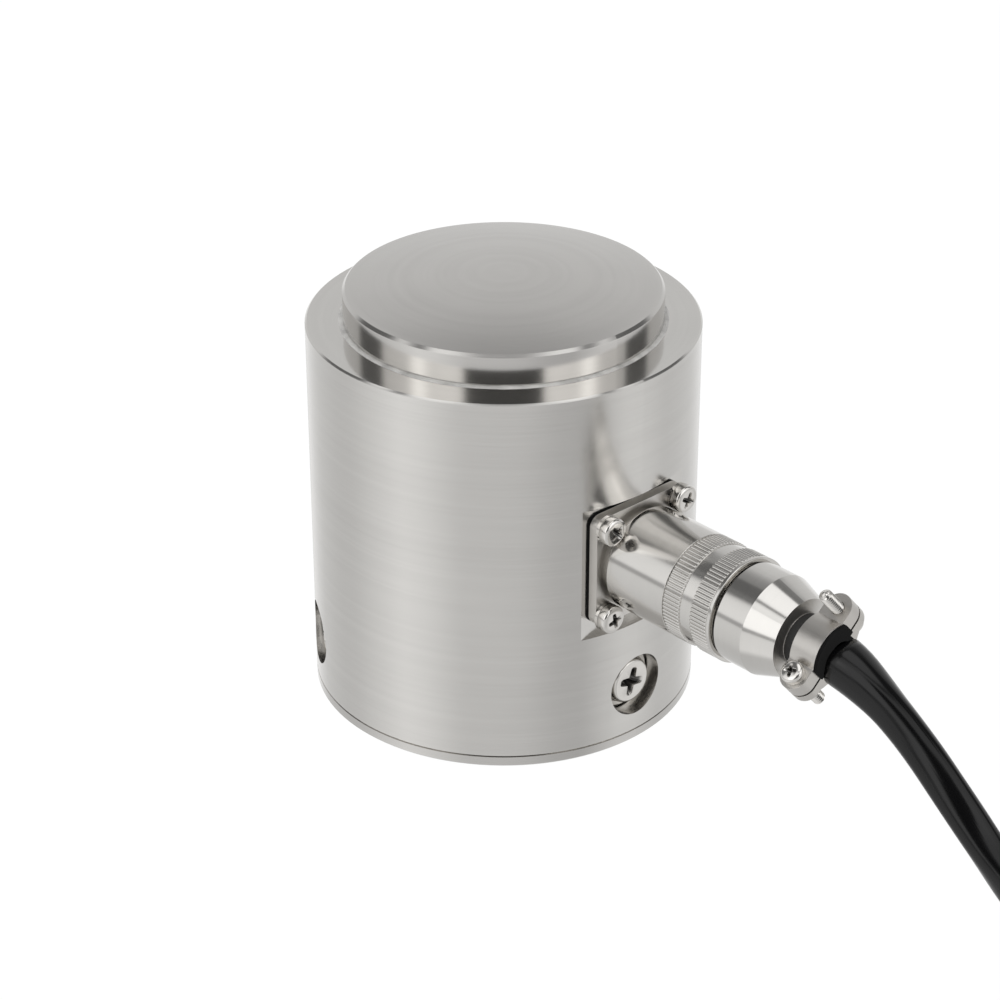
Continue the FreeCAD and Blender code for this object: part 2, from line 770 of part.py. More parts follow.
def make_flange_screws():
    """The four screws of the receptacle flange."""
    screw = pan_screw(
        FLANGE_SCREW_D, FLANGE_SCREW_L, FLANGE_SCREW_HEAD_D, FLANGE_SCREW_HEAD_H, FLANGE_SCREW_RECESS
    )
    seats = flange_hole_places(FLANGE_FACE_X + SPRING_WASHER_T)
    return Part.makeCompound([aimed(screw, seat, X_AXIS) for seat in seats])


def make_spring_washers():
    """Split spring washers under the flange screws."""
    bore = FLANGE_SCREW_D + 2 * THREAD_CLEARANCE
    washers = []
    for seat in flange_hole_places(FLANGE_FACE_X):
        ring = Part.makeCylinder(SPRING_WASHER_D / 2, SPRING_WASHER_T, seat, X_AXIS)
        gap = Part.makeBox(SPRING_WASHER_T, SPRING_WASHER_GAP, SPRING_WASHER_D)
        gap.translate(seat - V(0, SPRING_WASHER_GAP / 2, 0))
        washers.append(ring.cut([drilled(bore, SPRING_WASHER_T, seat, X_AXIS), gap]))
    return Part.makeCompound(washers)


def make_plug_shell():
    """The plug's inner sleeve: nose, shoulder that the nut pulls on, and rear thread."""
    nose_r = BARREL_BORE_D / 2 - NOSE_CLEARANCE
    bore_r = PLUG_SHELL_BORE_D / 2
    shoulder_r = BARREL_FRONT_D / 2
    groove_r = PLUG_BODY_D / 2 - RING_GROOVE_DEPTH
    return turned_x(
        [
            (NOSE_X, bore_r),
            (NOSE_X, nose_r),
            (SHOULDER_X, nose_r),
            (SHOULDER_X, shoulder_r),
            (SHOULDER_END_X, shoulder_r),
            (SHOULDER_END_X, PLUG_BODY_D / 2),
            (RING_X, PLUG_BODY_D / 2),
            (RING_X, groove_r),
            (RING_X + RING_T, groove_r),
            (RING_X + RING_T, PLUG_BODY_D / 2),
            (PLUG_BODY_END_X, PLUG_BODY_D / 2),
            (PLUG_BODY_END_X, PLUG_THREAD_D / 2),
            (PLUG_SHELL_END_X, PLUG_THREAD_D / 2),
            (PLUG_SHELL_END_X, bore_r),
        ]
    )


def make_nut_retaining_ring():
    """The snap ring that keeps the coupling nut on the plug."""
    ring = tube_x(RING_X, RING_X + RING_T, RING_D / 2, PLUG_BODY_D / 2 - RING_GROOVE_DEPTH)
    gap = Part.makeBox(RING_T, RING_GAP, RING_D, V(RING_X, -RING_GAP / 2, CONNECTOR_Z - RING_D))
    return ring.cut(gap)


def make_plug_insulator():
    """The moulded insert that holds the sockets."""
    disc = tube_x(NOSE_X, NOSE_X + PLUG_INSULATOR_L, PLUG_SHELL_BORE_D / 2 - INSULATOR_CLEARANCE)
    bore = SOCKET_D + 2 * THREAD_CLEARANCE
    return disc.cut([drilled(bore, PLUG_INSULATOR_L, place, X_AXIS) for place in contact_places(NOSE_X)])


def make_contact_sockets():
    """Four sockets with solder cups behind."""
    start = NOSE_X + SOCKET_SET_BACK
    length = PLUG_INSULATOR_L + CUP_L
    depth = INSULATOR_END_X + PIN_REACH - start + HOLE_PAST_TIP
    sockets = []
    for place in contact_places(start):
        body = Part.makeCylinder(SOCKET_D / 2, length, place, X_AXIS)
        pin_bore = drilled(PIN_D + 2 * SOCKET_CLEARANCE, depth, place, X_AXIS)
        cup_bore = drilled(CUP_BORE_D, CUP_DEPTH, place + X_AXIS * length, X_AXIS * -1)
        sockets.append(body.cut([pin_bore, cup_bore]))
    return Part.makeCompound(sockets)


def knurl_band(start, end):
    """A short bar with straight ridges all round."""
    ridge_r = NUT_D / 2
    root_r = ridge_r - KNURL_DEPTH
    step = 360.0 / KNURL_COUNT
    ring = []
    for i in range(KNURL_COUNT):
        for share, r in ((0.0, root_r), (0.3, ridge_r), (0.7, ridge_r)):
            a = math.radians(step * (i + share))
            ring.append(V(start, r * math.cos(a), CONNECTOR_Z + r * math.sin(a)))
    ring.append(ring[0])
    return Part.Face(Part.makePolygon(ring)).extrude(X_AXIS * (end - start))


def make_coupling_nut():
    """The knurled nut that draws the plug home."""
    r = NUT_D / 2
    root_r = r - KNURL_DEPTH
    groove_r = r - KNURL_GROOVE_DEPTH
    rim_x = NUT_END_X - NUT_RIM
    rear_band_x = rim_x - KNURL_LENGTH
    groove_x = rear_band_x - KNURL_GROOVE
    front_band_x = groove_x - KNURL_LENGTH
    c = NUT_CHAMFER
    body = turned_x(
        [
            (NUT_FRONT_X, 0),
            (NUT_FRONT_X, r - c),
            (NUT_FRONT_X + c, r),
            (front_band_x, r),
            (front_band_x, root_r),
            (groove_x, root_r),
            (groove_x, groove_r),
            (rear_band_x, groove_r),
            (rear_band_x, root_r),
            (rim_x, root_r),
            (rim_x, r),
            (NUT_END_X - c, r),
            (NUT_END_X, r - c),
            (NUT_END_X, 0),
        ]
    )
    bands = [knurl_band(front_band_x, groove_x), knurl_band(rear_band_x, rim_x)]
    return fused([body] + bands).cut(nut_bore())


def nut_bore():
    """The stepped bore of the coupling nut: thread, lip and rear recess."""
    thread_r = BARREL_FRONT_D / 2 + NUT_THREAD_CLEARANCE
    lip_r = PLUG_BODY_D / 2 + NUT_LIP_CLEARANCE
    rear_r = NUT_REAR_BORE_D / 2
    return turned_x(
        [
            (NUT_FRONT_X - CUT_PAST, 0),
            (NUT_FRONT_X - CUT_PAST, thread_r),
            (NUT_LIP_X, thread_r),
            (NUT_LIP_X, lip_r),
            (NUT_LIP_END_X, lip_r),
            (NUT_LIP_END_X, rear_r),
            (NUT_END_X + CUT_PAST, rear_r),
            (NUT_END_X + CUT_PAST, 0),
        ]
    )


def make_back_shell():
    """The tapered shell behind the plug, with the beaded neck that carries the clamp."""
    r = BACK_SHELL_D / 2
    skirt_r = NUT_REAR_BORE_D / 2 - BACK_SHELL_SKIRT_CLEARANCE
    skirt_x = PLUG_BODY_END_X + SHOULDER_GAP
    thread_r = PLUG_THREAD_D / 2 + THREAD_CLEARANCE
    bush_r = BUSH_R + THREAD_CLEARANCE
    inner_end_x = BACK_SHELL_END_X - BACK_SHELL_END_T
    bead_x = NECK_END_X - NECK_BEAD_L
    edge = BACK_SHELL_EDGE
    inner_r = r - BACK_SHELL_WALL - BACK_SHELL_STEP
    inner_x = PLUG_SHELL_END_X + SHOULDER_GAP
    return turned_x(
        [
            (skirt_x, thread_r),
            (skirt_x, skirt_r),
            (BACK_SHELL_X, skirt_r),
            (BACK_SHELL_X, r - edge),
            (BACK_SHELL_X + edge, r),
            (BACK_SHELL_TAPER_X, r),
            (BACK_SHELL_END_X, BACK_SHELL_END_D / 2),
            (BACK_SHELL_END_X, NECK_D / 2),
            (bead_x, NECK_D / 2),
            (bead_x, NECK_BEAD_D / 2),
            (NECK_END_X, NECK_BEAD_D / 2),
            (NECK_END_X, bush_r),
            (inner_end_x, bush_r),
            (inner_end_x, BACK_SHELL_END_D / 2 - BACK_SHELL_WALL),
            (BACK_SHELL_TAPER_X, inner_r),
            (inner_x, inner_r),
            (inner_x, thread_r),
        ]
    )


def make_plug_wires():
    """Four cores from the stripped cable end to the sockets."""
    cup_x = NOSE_X + SOCKET_SET_BACK + PLUG_INSULATOR_L + CUP_L - CUP_DEPTH + SOLDER_T
    cable_x = CABLE_POINTS[0][0]
    wires = []
    for place in contact_places(cup_x):
        off = place - V(cup_x, 0, CONNECTOR_Z)
        gathered = V(cable_x, 0, CONNECTOR_Z) + off * GATHER_SHARE
        route = [place, place + X_AXIS * GATHER_L, gathered - X_AXIS * GATHER_L, gathered]
        wires.append(tube_along(route, WIRE_D))
    return Part.makeCompound(wires)


def clamp_frame(shape):
    """Turn a shape drawn with its split plane level about the connector axis to the clamp's tilt."""
    copy = shape.copy()
    copy.rotate(CONNECTOR_ORIGIN, X_AXIS, CLAMP_TILT)
    return copy


def make_cable_bush():
    """The rubber sleeve in the clamp, with the flat-sided collar that covers the near half's end."""
    sleeve = tube_x(BUSH_END_X - BUSH_L, BUSH_END_X, BUSH_R, CABLE_D / 2)
    collar = tube_x(CLAMP_END_X, BUSH_END_X, BUSH_COLLAR_D / 2, CABLE_D / 2)
    corner = V(CLAMP_END_X, -BUSH_COLLAR_W / 2, CONNECTOR_Z + CLAMP_SPLIT_RISE)
    keep = Part.makeBox(BUSH_PROUD, BUSH_COLLAR_W, BUSH_COLLAR_D, corner)
    return fused([sleeve, clamp_frame(collar.common(keep))])


def saddle(low, lug_t):
    """One half of the clamp, above a level split plane that lies at a height from the axis."""
    lug_r = CLAMP_L / 2
    mid_x = CLAMP_X + lug_r
    arch = tube_x(CLAMP_X, CLAMP_END_X, CLAMP_OUTER_D / 2)
    foot = CONNECTOR_Z + low
    lug_bar = Part.makeBox(CLAMP_L, CLAMP_PITCH, lug_t, V(CLAMP_X, -CLAMP_PITCH / 2, foot))
    ends = [
        Part.makeCylinder(lug_r, lug_t, V(mid_x, side * CLAMP_PITCH / 2, foot), Z_AXIS)
        for side in (-1, 1)
    ]
    keep = Part.makeBox(CLAMP_L, 2 * CLAMP_PITCH, CLAMP_OUTER_D, V(CLAMP_X, -CLAMP_PITCH, foot))
    body = fused([arch.common(keep), lug_bar] + ends)
    return body.cut(saddle_cuts(low + lug_t))


def saddle_bore(start_x, end_x, r):
    """A bore along the clamp's axis with straight sides below it, so that a deep half still slips on."""
    slot = Part.makeBox(end_x - start_x, 2 * r, CLAMP_OUTER_D, V(start_x, -r, CONNECTOR_Z - CLAMP_OUTER_D))
    return [tube_x(start_x, end_x, r), slot]


def saddle_cuts(seat_z):
    """The bush seat, the groove that hooks over the neck's bead, and the screw holes and seats."""
    neck_r = NECK_D / 2 + CLAMP_NECK_CLEARANCE
    bead_r = NECK_BEAD_D / 2 + CLAMP_NECK_CLEARANCE
    bead_x = NECK_END_X - NECK_BEAD_L - CLAMP_NECK_CLEARANCE
    cuts = saddle_bore(CLAMP_X - CUT_PAST, CLAMP_END_X + CUT_PAST, BUSH_R + THREAD_CLEARANCE)
    cuts += saddle_bore(CLAMP_X - CUT_PAST, bead_x, neck_r)
    cuts += saddle_bore(bead_x, NECK_END_X + CLAMP_NECK_CLEARANCE, bead_r)
    passage = CLAMP_SCREW_D + 2 * THREAD_CLEARANCE
    seat_d = CLAMP_SCREW_HEAD_D + 2 * SCREW_PASSAGE
    for side in (-1, 1):
        mouth = V(CLAMP_X + CLAMP_L / 2, side * CLAMP_PITCH / 2, CONNECTOR_Z - CLAMP_OUTER_D / 2)
        cuts.append(drilled(passage, 2 * CLAMP_OUTER_D, mouth, Z_AXIS))
        seat = V(mouth.x, mouth.y, CONNECTOR_Z + seat_z)
        cuts.append(drilled(seat_d, CLAMP_OUTER_D, seat, Z_AXIS))
    return cuts


def make_clamp_half_near():
    """The shallow clamp half that faces up."""
    return clamp_frame(saddle(CLAMP_NEAR_LOW, CLAMP_NEAR_LUG_T))


def make_clamp_half_far():
    """The deep half below the cable, with thin lugs, drawn upright and turned over."""
    copy = saddle(CLAMP_FAR_LOW, CLAMP_FAR_LUG_T)
    copy.rotate(CONNECTOR_ORIGIN, X_AXIS, 180)
    return clamp_frame(copy)


def make_clamp_screws():
    """Two long screws, put in from opposite sides."""
    screw = pan_screw(
        CLAMP_SCREW_D, CLAMP_SCREW_L, CLAMP_SCREW_HEAD_D, CLAMP_SCREW_HEAD_H, CLAMP_SCREW_RECESS
    )
    screws = []
    for side, lift in ((-1, CLAMP_NEAR_LOW + CLAMP_NEAR_LUG_T), (1, CLAMP_FAR_LOW + CLAMP_FAR_LUG_T)):
        seat = V(CLAMP_X + CLAMP_L / 2, side * CLAMP_PITCH / 2, CONNECTOR_Z - side * lift)
        screws.append(clamp_frame(aimed(screw, seat, Z_AXIS * -side)))
    return Part.makeCompound(screws)


def make_cable():
    """The cable from the clamp down to the coil."""
    points = [V(*p) for p in CABLE_POINTS]
    solid = tube_along(points, CABLE_D)
    length = route_wire(points).Length
    ratio = solid.Volume / (length * math.pi * CABLE_D ** 2 / 4)
    print("cable bend radii", [round(r, 1) for r in bend_radii(points)])
    print("cable length", round(length, 1), "volume ratio", round(ratio, 5))
    return solid


def coil_section(inset):
    """The coil's bevelled cross-section, drawn at its centre line and inset all round."""
    r = COIL_MEAN_D / 2
    inner = r - COIL_HALF_W + inset
    outer = r + COIL_HALF_W - inset
    low = inset
    high = COIL_H - inset
    bevel = COIL_BEVEL - inset * (2 - math.sqrt(2))
    points = [
        (inner, low + bevel),
        (inner + bevel, low),
        (outer - bevel, low),
        (outer, low + bevel),
        (outer, high - bevel),
        (outer - bevel, high),
        (inner + bevel, high),
        (inner, high - bevel),
    ]
    corners = [V(x, 0, z) for x, z in points]
    return closed_face(corners[0], corners[1:])


def coil_part(face, first, span):
    """A cross-section swept round the coil's axis between two angles."""
    solid = face.revolve(V(0, 0, 0), Z_AXIS, span)
    solid.rotate(V(0, 0, 0), Z_AXIS, first)
    solid.translate(COIL_CENTRE)
    return solid


def make_cable_coil():
    """The wound cable as one plain ring, with the free end's place left open on top."""
    ring = coil_part(coil_section(0), 0, 360)
    inner = COIL_OUTER_TURN_R - CABLE_D / 2
    outer = COIL_OUTER_TURN_R + CABLE_D
    low = COIL_H - CABLE_D
    high = COIL_H + CUT_PAST
    notch = closed_face(V(inner, 0, low), [V(outer, 0, low), V(outer, 0, high), V(inner, 0, high)])
    cuts = [coil_part(notch, COIL_ENTRY_ANGLE + COIL_LAST_TURN, 360 - COIL_LAST_TURN)]
    band = coil_section(0).cut(coil_section(TIE_T)).Faces[0]
    for angle in TIE_ANGLES:
        cuts.append(coil_part(band, angle - TIE_SLACK, TIE_SPAN + 2 * TIE_SLACK))
    return ring.cut(cuts)


def make_cable_ties():
    """Two flat ties that hold the coil, each with its small square head."""
    band = coil_section(0).cut(coil_section(TIE_T)).Faces[0]
    depth, height, width = TIE_HEAD
    ties = []
    for angle in TIE_ANGLES:
        strap = coil_part(band, angle, TIE_SPAN)
        outer = COIL_MEAN_D / 2 + COIL_HALF_W
        head = Part.makeBox(depth, width, height, V(outer - TIE_T / 2, -width / 2, COIL_H / 2))
        head = about_z(head, angle + TIE_SPAN / 2)
        head.translate(COIL_CENTRE)
        sleeve = coil_part(coil_section(TIE_T), angle - TIE_SPAN, 3 * TIE_SPAN)
        ties.append(fused([strap, head]).cut(sleeve))
    return Part.makeCompound(ties)


def core_route(index):
    """One bare-ended core, from the cable's end down onto the turns below."""
    across = (index - (CONTACT_COUNT - 1) / 2) * CORE_STEP
    lift = CORE_D / 2 + CORE_LIFT
    if index not in (1, 2):
        lift = -lift
    begin = COIL_ENTRY_ANGLE + COIL_LAST_TURN
    r = COIL_OUTER_TURN_R
    floor_z = COIL_H - CABLE_D + CORE_D / 2 + CORE_LIFT
    end_z = COIL_H - CABLE_D / 2 + lift
    stops = [
        (CORE_START_ANGLE, r + 0.35 * across, end_z),
        (8.0, r + 0.6 * across, end_z - 0.4),
        (20.0, r + 0.9 * across, floor_z),
        (33.0 - 2.0 * index, r + across, floor_z),
    ]
    return [COIL_CENTRE + radial(begin + a) * far + V(0, 0, z) for a, far, z in stops]


def make_core_ends():
    """The four insulated cores that fan out of the cable's free end."""
    return Part.makeCompound([tube_along(core_route(i), CORE_D) for i in range(CONTACT_COUNT)])


def make_core_tips():
    """The tinned wire at the end of each core."""
    tips = []
    for i in range(CONTACT_COUNT):
        before, last = core_route(i)[-2:]
        along = (last - before).normalize()
        foot = last + along * CORE_TIP_CLEARANCE
        tips.append(Part.makeCylinder(CORE_TIP_D / 2, CORE_TIP_L, foot, along))
    return Part.makeCompound(tips)


def main():
    os.makedirs("parts", exist_ok=True)
    save("elastic_element", make_elastic_element())
    save("shell", make_shell())
    save("shell_screws", make_shell_screws())
    save("top_seal", make_top_seal())
    save("base_o_ring", make_base_o_ring())
    save("axial_gauges", gauge_patches(AXIAL_GAUGE_W, AXIAL_GAUGE_H, axial_low_z()))
    save("transverse_gauges", gauge_patches(TRANSVERSE_GAUGE_W, TRANSVERSE_GAUGE_H, transverse_low_z()))
    save("gauge_leads", make_gauge_leads())
    save("bridge_board", make_bridge_board())
    save("board_standoffs", make_board_standoffs())
    save("board_screws", make_board_screws())
    save("trim_resistors", make_trim_resistors())
    save("signal_wires", make_signal_wires())
    save("flange_gasket", make_flange_gasket())
    save("receptacle_shell", make_receptacle_shell())
    save("receptacle_insulator", make_receptacle_insulator())
    save("contact_pins", make_contact_pins())
    save("flange_screws", make_flange_screws())
    save("spring_washers", make_spring_washers())
    save("plug_shell", make_plug_shell())
    save("nut_retaining_ring", make_nut_retaining_ring())
    save("plug_insulator", make_plug_insulator())
    save("contact_sockets", make_contact_sockets())
    save("coupling_nut", make_coupling_nut())
    save("back_shell", make_back_shell())
    save("plug_wires", make_plug_wires())
    save("cable_bush", make_cable_bush())
    save("clamp_half_near", make_clamp_half_near())
    save("clamp_half_far", make_clamp_half_far())
    save("clamp_screws", make_clamp_screws())
    save("cable", make_cable())
    save("cable_coil", make_cable_coil())
    save("cable_ties", make_cable_ties())
    save("core_ends", make_core_ends())
    save("core_tips", make_core_tips())


main()
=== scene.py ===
"""The looks of a compression load cell with a plug-in signal cable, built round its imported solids.

Everything is in metres, in the frame of the solids: the loading axis is +Z, and the connector points
along +X.
"""

from __future__ import annotations

import json
import logging
import math
from collections.abc import Callable, Iterable, Mapping, Sequence
from dataclasses import dataclass
from enum import Enum

import bmesh
import bpy
from mathutils import Matrix, Vector, noise


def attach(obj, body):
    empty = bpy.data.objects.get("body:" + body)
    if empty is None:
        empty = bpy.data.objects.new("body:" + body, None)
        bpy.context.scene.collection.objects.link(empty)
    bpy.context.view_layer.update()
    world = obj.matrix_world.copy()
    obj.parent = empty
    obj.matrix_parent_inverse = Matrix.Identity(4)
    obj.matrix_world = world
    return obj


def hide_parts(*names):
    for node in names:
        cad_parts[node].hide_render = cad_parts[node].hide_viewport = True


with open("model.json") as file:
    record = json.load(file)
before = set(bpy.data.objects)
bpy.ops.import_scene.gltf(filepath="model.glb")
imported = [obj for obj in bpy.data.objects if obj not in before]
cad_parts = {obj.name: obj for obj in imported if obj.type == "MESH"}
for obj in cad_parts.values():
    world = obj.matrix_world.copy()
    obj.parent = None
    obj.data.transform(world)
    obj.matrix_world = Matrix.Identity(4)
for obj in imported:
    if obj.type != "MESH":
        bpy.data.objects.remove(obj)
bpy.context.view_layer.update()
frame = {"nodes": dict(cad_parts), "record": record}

LOG = logging.getLogger("load_cell")
MM = 0.001
VIEW_TURN = math.radians(47.45)
CONNECTOR_HEIGHT = 41.3 * MM
ON_AXIS = 0.000001 * MM
WELD = 0.002 * MM
GUARD_SHARE = 0.4
CLAMP_TILT = math.radians(41.5)
CLAMP_ACROSS = Vector((0.0, math.cos(CLAMP_TILT), math.sin(CLAMP_TILT)))
CLAMP_UPWARD = Vector((0.0, -math.sin(CLAMP_TILT), math.cos(CLAMP_TILT)))

Colour = tuple[float, float, float, float]


class Axis(Enum):
    """The two lines that pieces are turned about."""

    LOADING = "z"
    CONNECTOR = "x"


class Body(Enum):
    """The rigid bodies that pieces ride on."""

    CELL = "cell"
    PLUG = "plug"
    NUT = "nut"


def grey(level: float, alpha: float = 1.0) -> Colour:
    """A neutral colour of one level."""
    return (level, level, level, alpha)


class Signal:
    """One output socket of a node, on which Python's operators add maths nodes."""

    def __init__(self, nodes: NodeBuilder, node: bpy.types.Node, socket: bpy.types.NodeSocket | None) -> None:
        """Keep the builder, the node and its socket."""
        self.nodes = nodes
        self.node = node
        self.socket = socket

    def output(self, name: str) -> Signal:
        """Another output of the same node, by its name or identifier."""
        return Signal(self.nodes, self.node, self.nodes.socket(self.node.outputs, name))

    def maths(self, operation: str, *others: Signal | float) -> Signal:
        """Add one maths node.

        Args:
            operation: Blender's name of the operation.
            others: The second operand, if it has one.

        Returns:
            The result.
        """
        sockets = dict(zip(("Value", "Value_001"), (self, *others)))
        return self.nodes.node("ShaderNodeMath", {"operation": operation}, sockets)

    def __add__(self, other: Signal | float) -> Signal:
        """Sum."""
        return self.maths("ADD", other)

    __radd__ = __add__

    def __sub__(self, other: Signal | float) -> Signal:
        """Difference."""
        return self.maths("SUBTRACT", other)

    def __rsub__(self, other: float) -> Signal:
        """Difference from a number."""
        sockets = {"Value": other, "Value_001": self}
        return self.nodes.node("ShaderNodeMath", {"operation": "SUBTRACT"}, sockets)

    def __mul__(self, other: Signal | float) -> Signal:
        """Product."""
        return self.maths("MULTIPLY", other)

    __rmul__ = __mul__

    def __truediv__(self, other: Signal | float) -> Signal:
        """Quotient."""
        return self.maths("DIVIDE", other)

    def __neg__(self) -> Signal:
        """Opposite."""
        return self * -1.0

    def __abs__(self) -> Signal:
        """Absolute value."""
        return self.maths("ABSOLUTE")

    def smooth(self, low: float, high: float) -> Signal:
        """A soft step from 0 at low to 1 at high."""
        sockets = {"Value": self, "From Min": low, "From Max": high}
        return self.nodes.node("ShaderNodeMapRange", {"interpolation_type": "SMOOTHSTEP"}, sockets)

    def between(self, low: float, high: float, soft: float) -> Signal:
        """A soft window that is 1 from low to high."""
        return self.smooth(low - soft, low + soft) * (1.0 - self.smooth(high - soft, high + soft))


Value = Signal | float | int | bool | tuple | Vector | bpy.types.ID


class NodeBuilder:
    """Adds nodes to one tree: a material's, the world's or a geometry group's."""

    def __init__(self, tree: bpy.types.NodeTree) -> None:
        """Start with an empty tree."""
        self.tree = tree
        self.tree.nodes.clear()

    def socket(self, sockets: Iterable[bpy.types.NodeSocket], name: str) -> bpy.types.NodeSocket:
        """The socket with this identifier, or else the first enabled one with this name."""
        found = [s for s in sockets if s.identifier == name]
        found += [s for s in sockets if s.name == name and s.enabled]
        return found[0]

    def node(
        self,
        kind: str,
        settings: Mapping[str, object] | None = None,
        sockets: Mapping[str, Value] | None = None,
    ) -> Signal:
        """Add one node.

        Args:
            kind: The node's type.
            settings: Its properties, set before its sockets. "stops" is a colour ramp's stops.
            sockets: What its inputs hold: a number, a colour, an object or another node's output.

        Returns:
            The node's first enabled output.
        """
        made = self.tree.nodes.new(kind)
        for name, value in (settings or {}).items():
            if name == "stops":
                self._set_stops(made.color_ramp, value)
            else:
                setattr(made, name, value)
        for name, value in (sockets or {}).items():
            target = self.socket(made.inputs, name)
            if isinstance(value, Signal):
                self.tree.links.new(value.socket, target)
            else:
                target.default_value = value
        outputs = [s for s in made.outputs if s.enabled]
        return Signal(self, made, outputs[0] if outputs else None)

    def parts(self, vector: Signal) -> tuple[Signal, Signal, Signal]:
        """The three parts of a vector."""
        split = self.node("ShaderNodeSeparateXYZ", sockets={"Vector": vector})
        return split.output("X"), split.output("Y"), split.output("Z")

    def join(self, x: Value, y: Value, z: Value) -> Signal:
        """A vector from three parts."""
        return self.node("ShaderNodeCombineXYZ", sockets={"X": x, "Y": y, "Z": z})

    @staticmethod
    def _set_stops(ramp: bpy.types.ColorRamp, stops: Sequence[tuple[float, Colour]]) -> None:
        """Give a colour ramp its stops."""
        while len(ramp.elements) < len(stops):
            ramp.elements.new(1.0)
        for element, (place, colour) in zip(ramp.elements, stops):
            element.position = place
            element.color = colour


class Shader(NodeBuilder):
    """The nodes of a material or of the world."""

    def place(self) -> Signal:
        """The point on the piece, in the object's own coordinates."""
        return self.node("ShaderNodeTexCoord").output("Object")

    def attribute(self, name: str) -> Signal:
        """A number that the mesh keeps on its points under this name."""
        return self.node("ShaderNodeAttribute", {"attribute_name": name}).output("Fac")

    def seen_by_eye(self) -> Signal:
        """1 for what the camera sees, also through something clear, and 0 for every other ray."""
        path = self.node("ShaderNodeLightPath")
        return path.output("Is Camera Ray").maths("MAXIMUM", path.output("Is Transmission Ray"))

    def noise(self, vector: Signal, scale: float, detail: float = 2.0, rough: float = 0.5) -> Signal:
        """Smooth noise from 0 to 1."""
        sockets = {"Vector": vector, "Scale": scale, "Detail": detail, "Roughness": rough}
        return self.node("ShaderNodeTexNoise", sockets=sockets)

    def swing(self, vector: Signal, scale: float, detail: float = 2.0, rough: float = 0.5) -> Signal:
        """Smooth noise from -0.5 to 0.5."""
        return self.noise(vector, scale, detail, rough) - 0.5

    def tinted(self, colour: Colour, level: Signal) -> Signal:
        """A colour made lighter or darker by a level."""
        red, green, blue = (level * part for part in colour[:3])
        return self.node("ShaderNodeCombineColor", sockets={"Red": red, "Green": green, "Blue": blue})

    def blend(self, share: Value, first: Value, second: Value) -> Signal:
        """A colour between two."""
        sockets = {"Factor_Float": share, "A_Color": first, "B_Color": second}
        return self.node("ShaderNodeMix", {"data_type": "RGBA"}, sockets).output("Result_Color")

    def steps(self, value: Signal, levels: Sequence[tuple[float, float]]) -> Signal:
        """A level that runs in straight lines between given places of a value."""
        low, high = levels[0][0], levels[-1][0]
        share = self.node("ShaderNodeMapRange", sockets={"Value": value, "From Min": low, "From Max": high})
        stops = [((place - low) / (high - low), grey(level)) for place, level in levels]
        return self.node("ShaderNodeValToRGB", {"stops": stops}, {"Fac": share}).output("Color")

    def bump(
        self, height: Signal, distance: float, strength: float = 1.0, normal: Signal | None = None
    ) -> Signal:
        """A normal tilted by a height.

        Args:
            height: The height, from about 0 to 1.
            distance: What a height of 1 means, in metres.
            strength: How much of the tilt is used.
            normal: A normal that is already tilted.

        Returns:
            The tilted normal.
        """
        sockets: dict[str, Value] = {"Height": height, "Distance": distance, "Strength": strength}
        if normal is not None:
            sockets["Normal"] = normal
        return self.node("ShaderNodeBump", sockets=sockets)


def turned_place(shader: Shader, axis: Axis) -> tuple[Signal, Signal, Signal, Signal]:
    """Where a point lies on a turned piece.

    Args:
        shader: The material's nodes.
        axis: The line that the piece is turned about.

    Returns:
        The distance along the axis, the radius, and the two parts across the axis.
    """
    x, y, z = shader.parts(shader.place())
    if axis is Axis.CONNECTOR:
        along, first, second = x, y, z - CONNECTOR_HEIGHT
    else:
        along, first, second = z, x, y
    radius = (first * first + second * second).maths("SQRT")
    return along, radius, first, second


@dataclass(frozen=True)
class Finish:
    """What every finish has: a name and the sockets that are the same all over."""

    name: str
    colour: Colour
    roughness: float

    def build(self) -> bpy.types.Material:
        """The finished material."""
        material = bpy.data.materials.new(self.name)
        material.use_nodes = True
        material.diffuse_color = self.colour
        shader = Shader(material.node_tree)
        sockets = {"Base Color": self.colour, "Roughness": self.roughness, **self.sockets(shader)}
        surface = shader.node("ShaderNodeBsdfPrincipled", sockets=sockets)
        shader.node("ShaderNodeOutputMaterial", sockets={"Surface": surface})
        return material

    def sockets(self, shader: Shader) -> dict[str, Value]:
        """The sockets that this finish sets on the surface shader."""
        return {}


@dataclass(frozen=True)
class TurnedSteel(Finish):
    """Steel left as it came off the lathe: fine rings, faint cloudiness and a satin sheen."""

    ring_pitch: float = 0.22 * MM
    ring_drift: float = 0.012
    ring_depth: float = 0.0006 * MM
    ring_shade: float = 0.10
    band_pitch: float = 22.0 / 9.0 * MM
    cloud: float = 0.05
    cloud_scale: float = 60.0
    face_start: float = 0.0
    face_soft: float = 0.1 * MM
    face_roughness: float = 0.2

    def sockets(self, shader: Shader) -> dict[str, Value]:
        """Rings and clouds over the turned surface."""
        along, radius, first, second = turned_place(shader, Axis.LOADING)
        rings = shader.join(along + first * self.ring_drift, radius + second * self.ring_drift, 0.0)
        fine = shader.swing(rings, 1.0 / self.ring_pitch, 3.0, 0.65)
        broad = shader.swing(rings, 1.0 / self.band_pitch)
        clouds = shader.swing(shader.place(), self.cloud_scale, 3.0)
        level = 1.0 + ((fine + broad) * self.ring_shade + clouds * self.cloud * 2.0)
        face = along.smooth(self.face_start - self.face_soft, self.face_start + self.face_soft)
        rough = self.roughness + face * (self.face_roughness - self.roughness)
        return {
            "Base Color": shader.tinted(self.colour, level),
            "Metallic": 1.0,
            "Roughness": rough + fine * 0.06 + clouds * 0.05,
            "Normal": shader.bump(fine + broad * 0.6, self.ring_depth),
        }


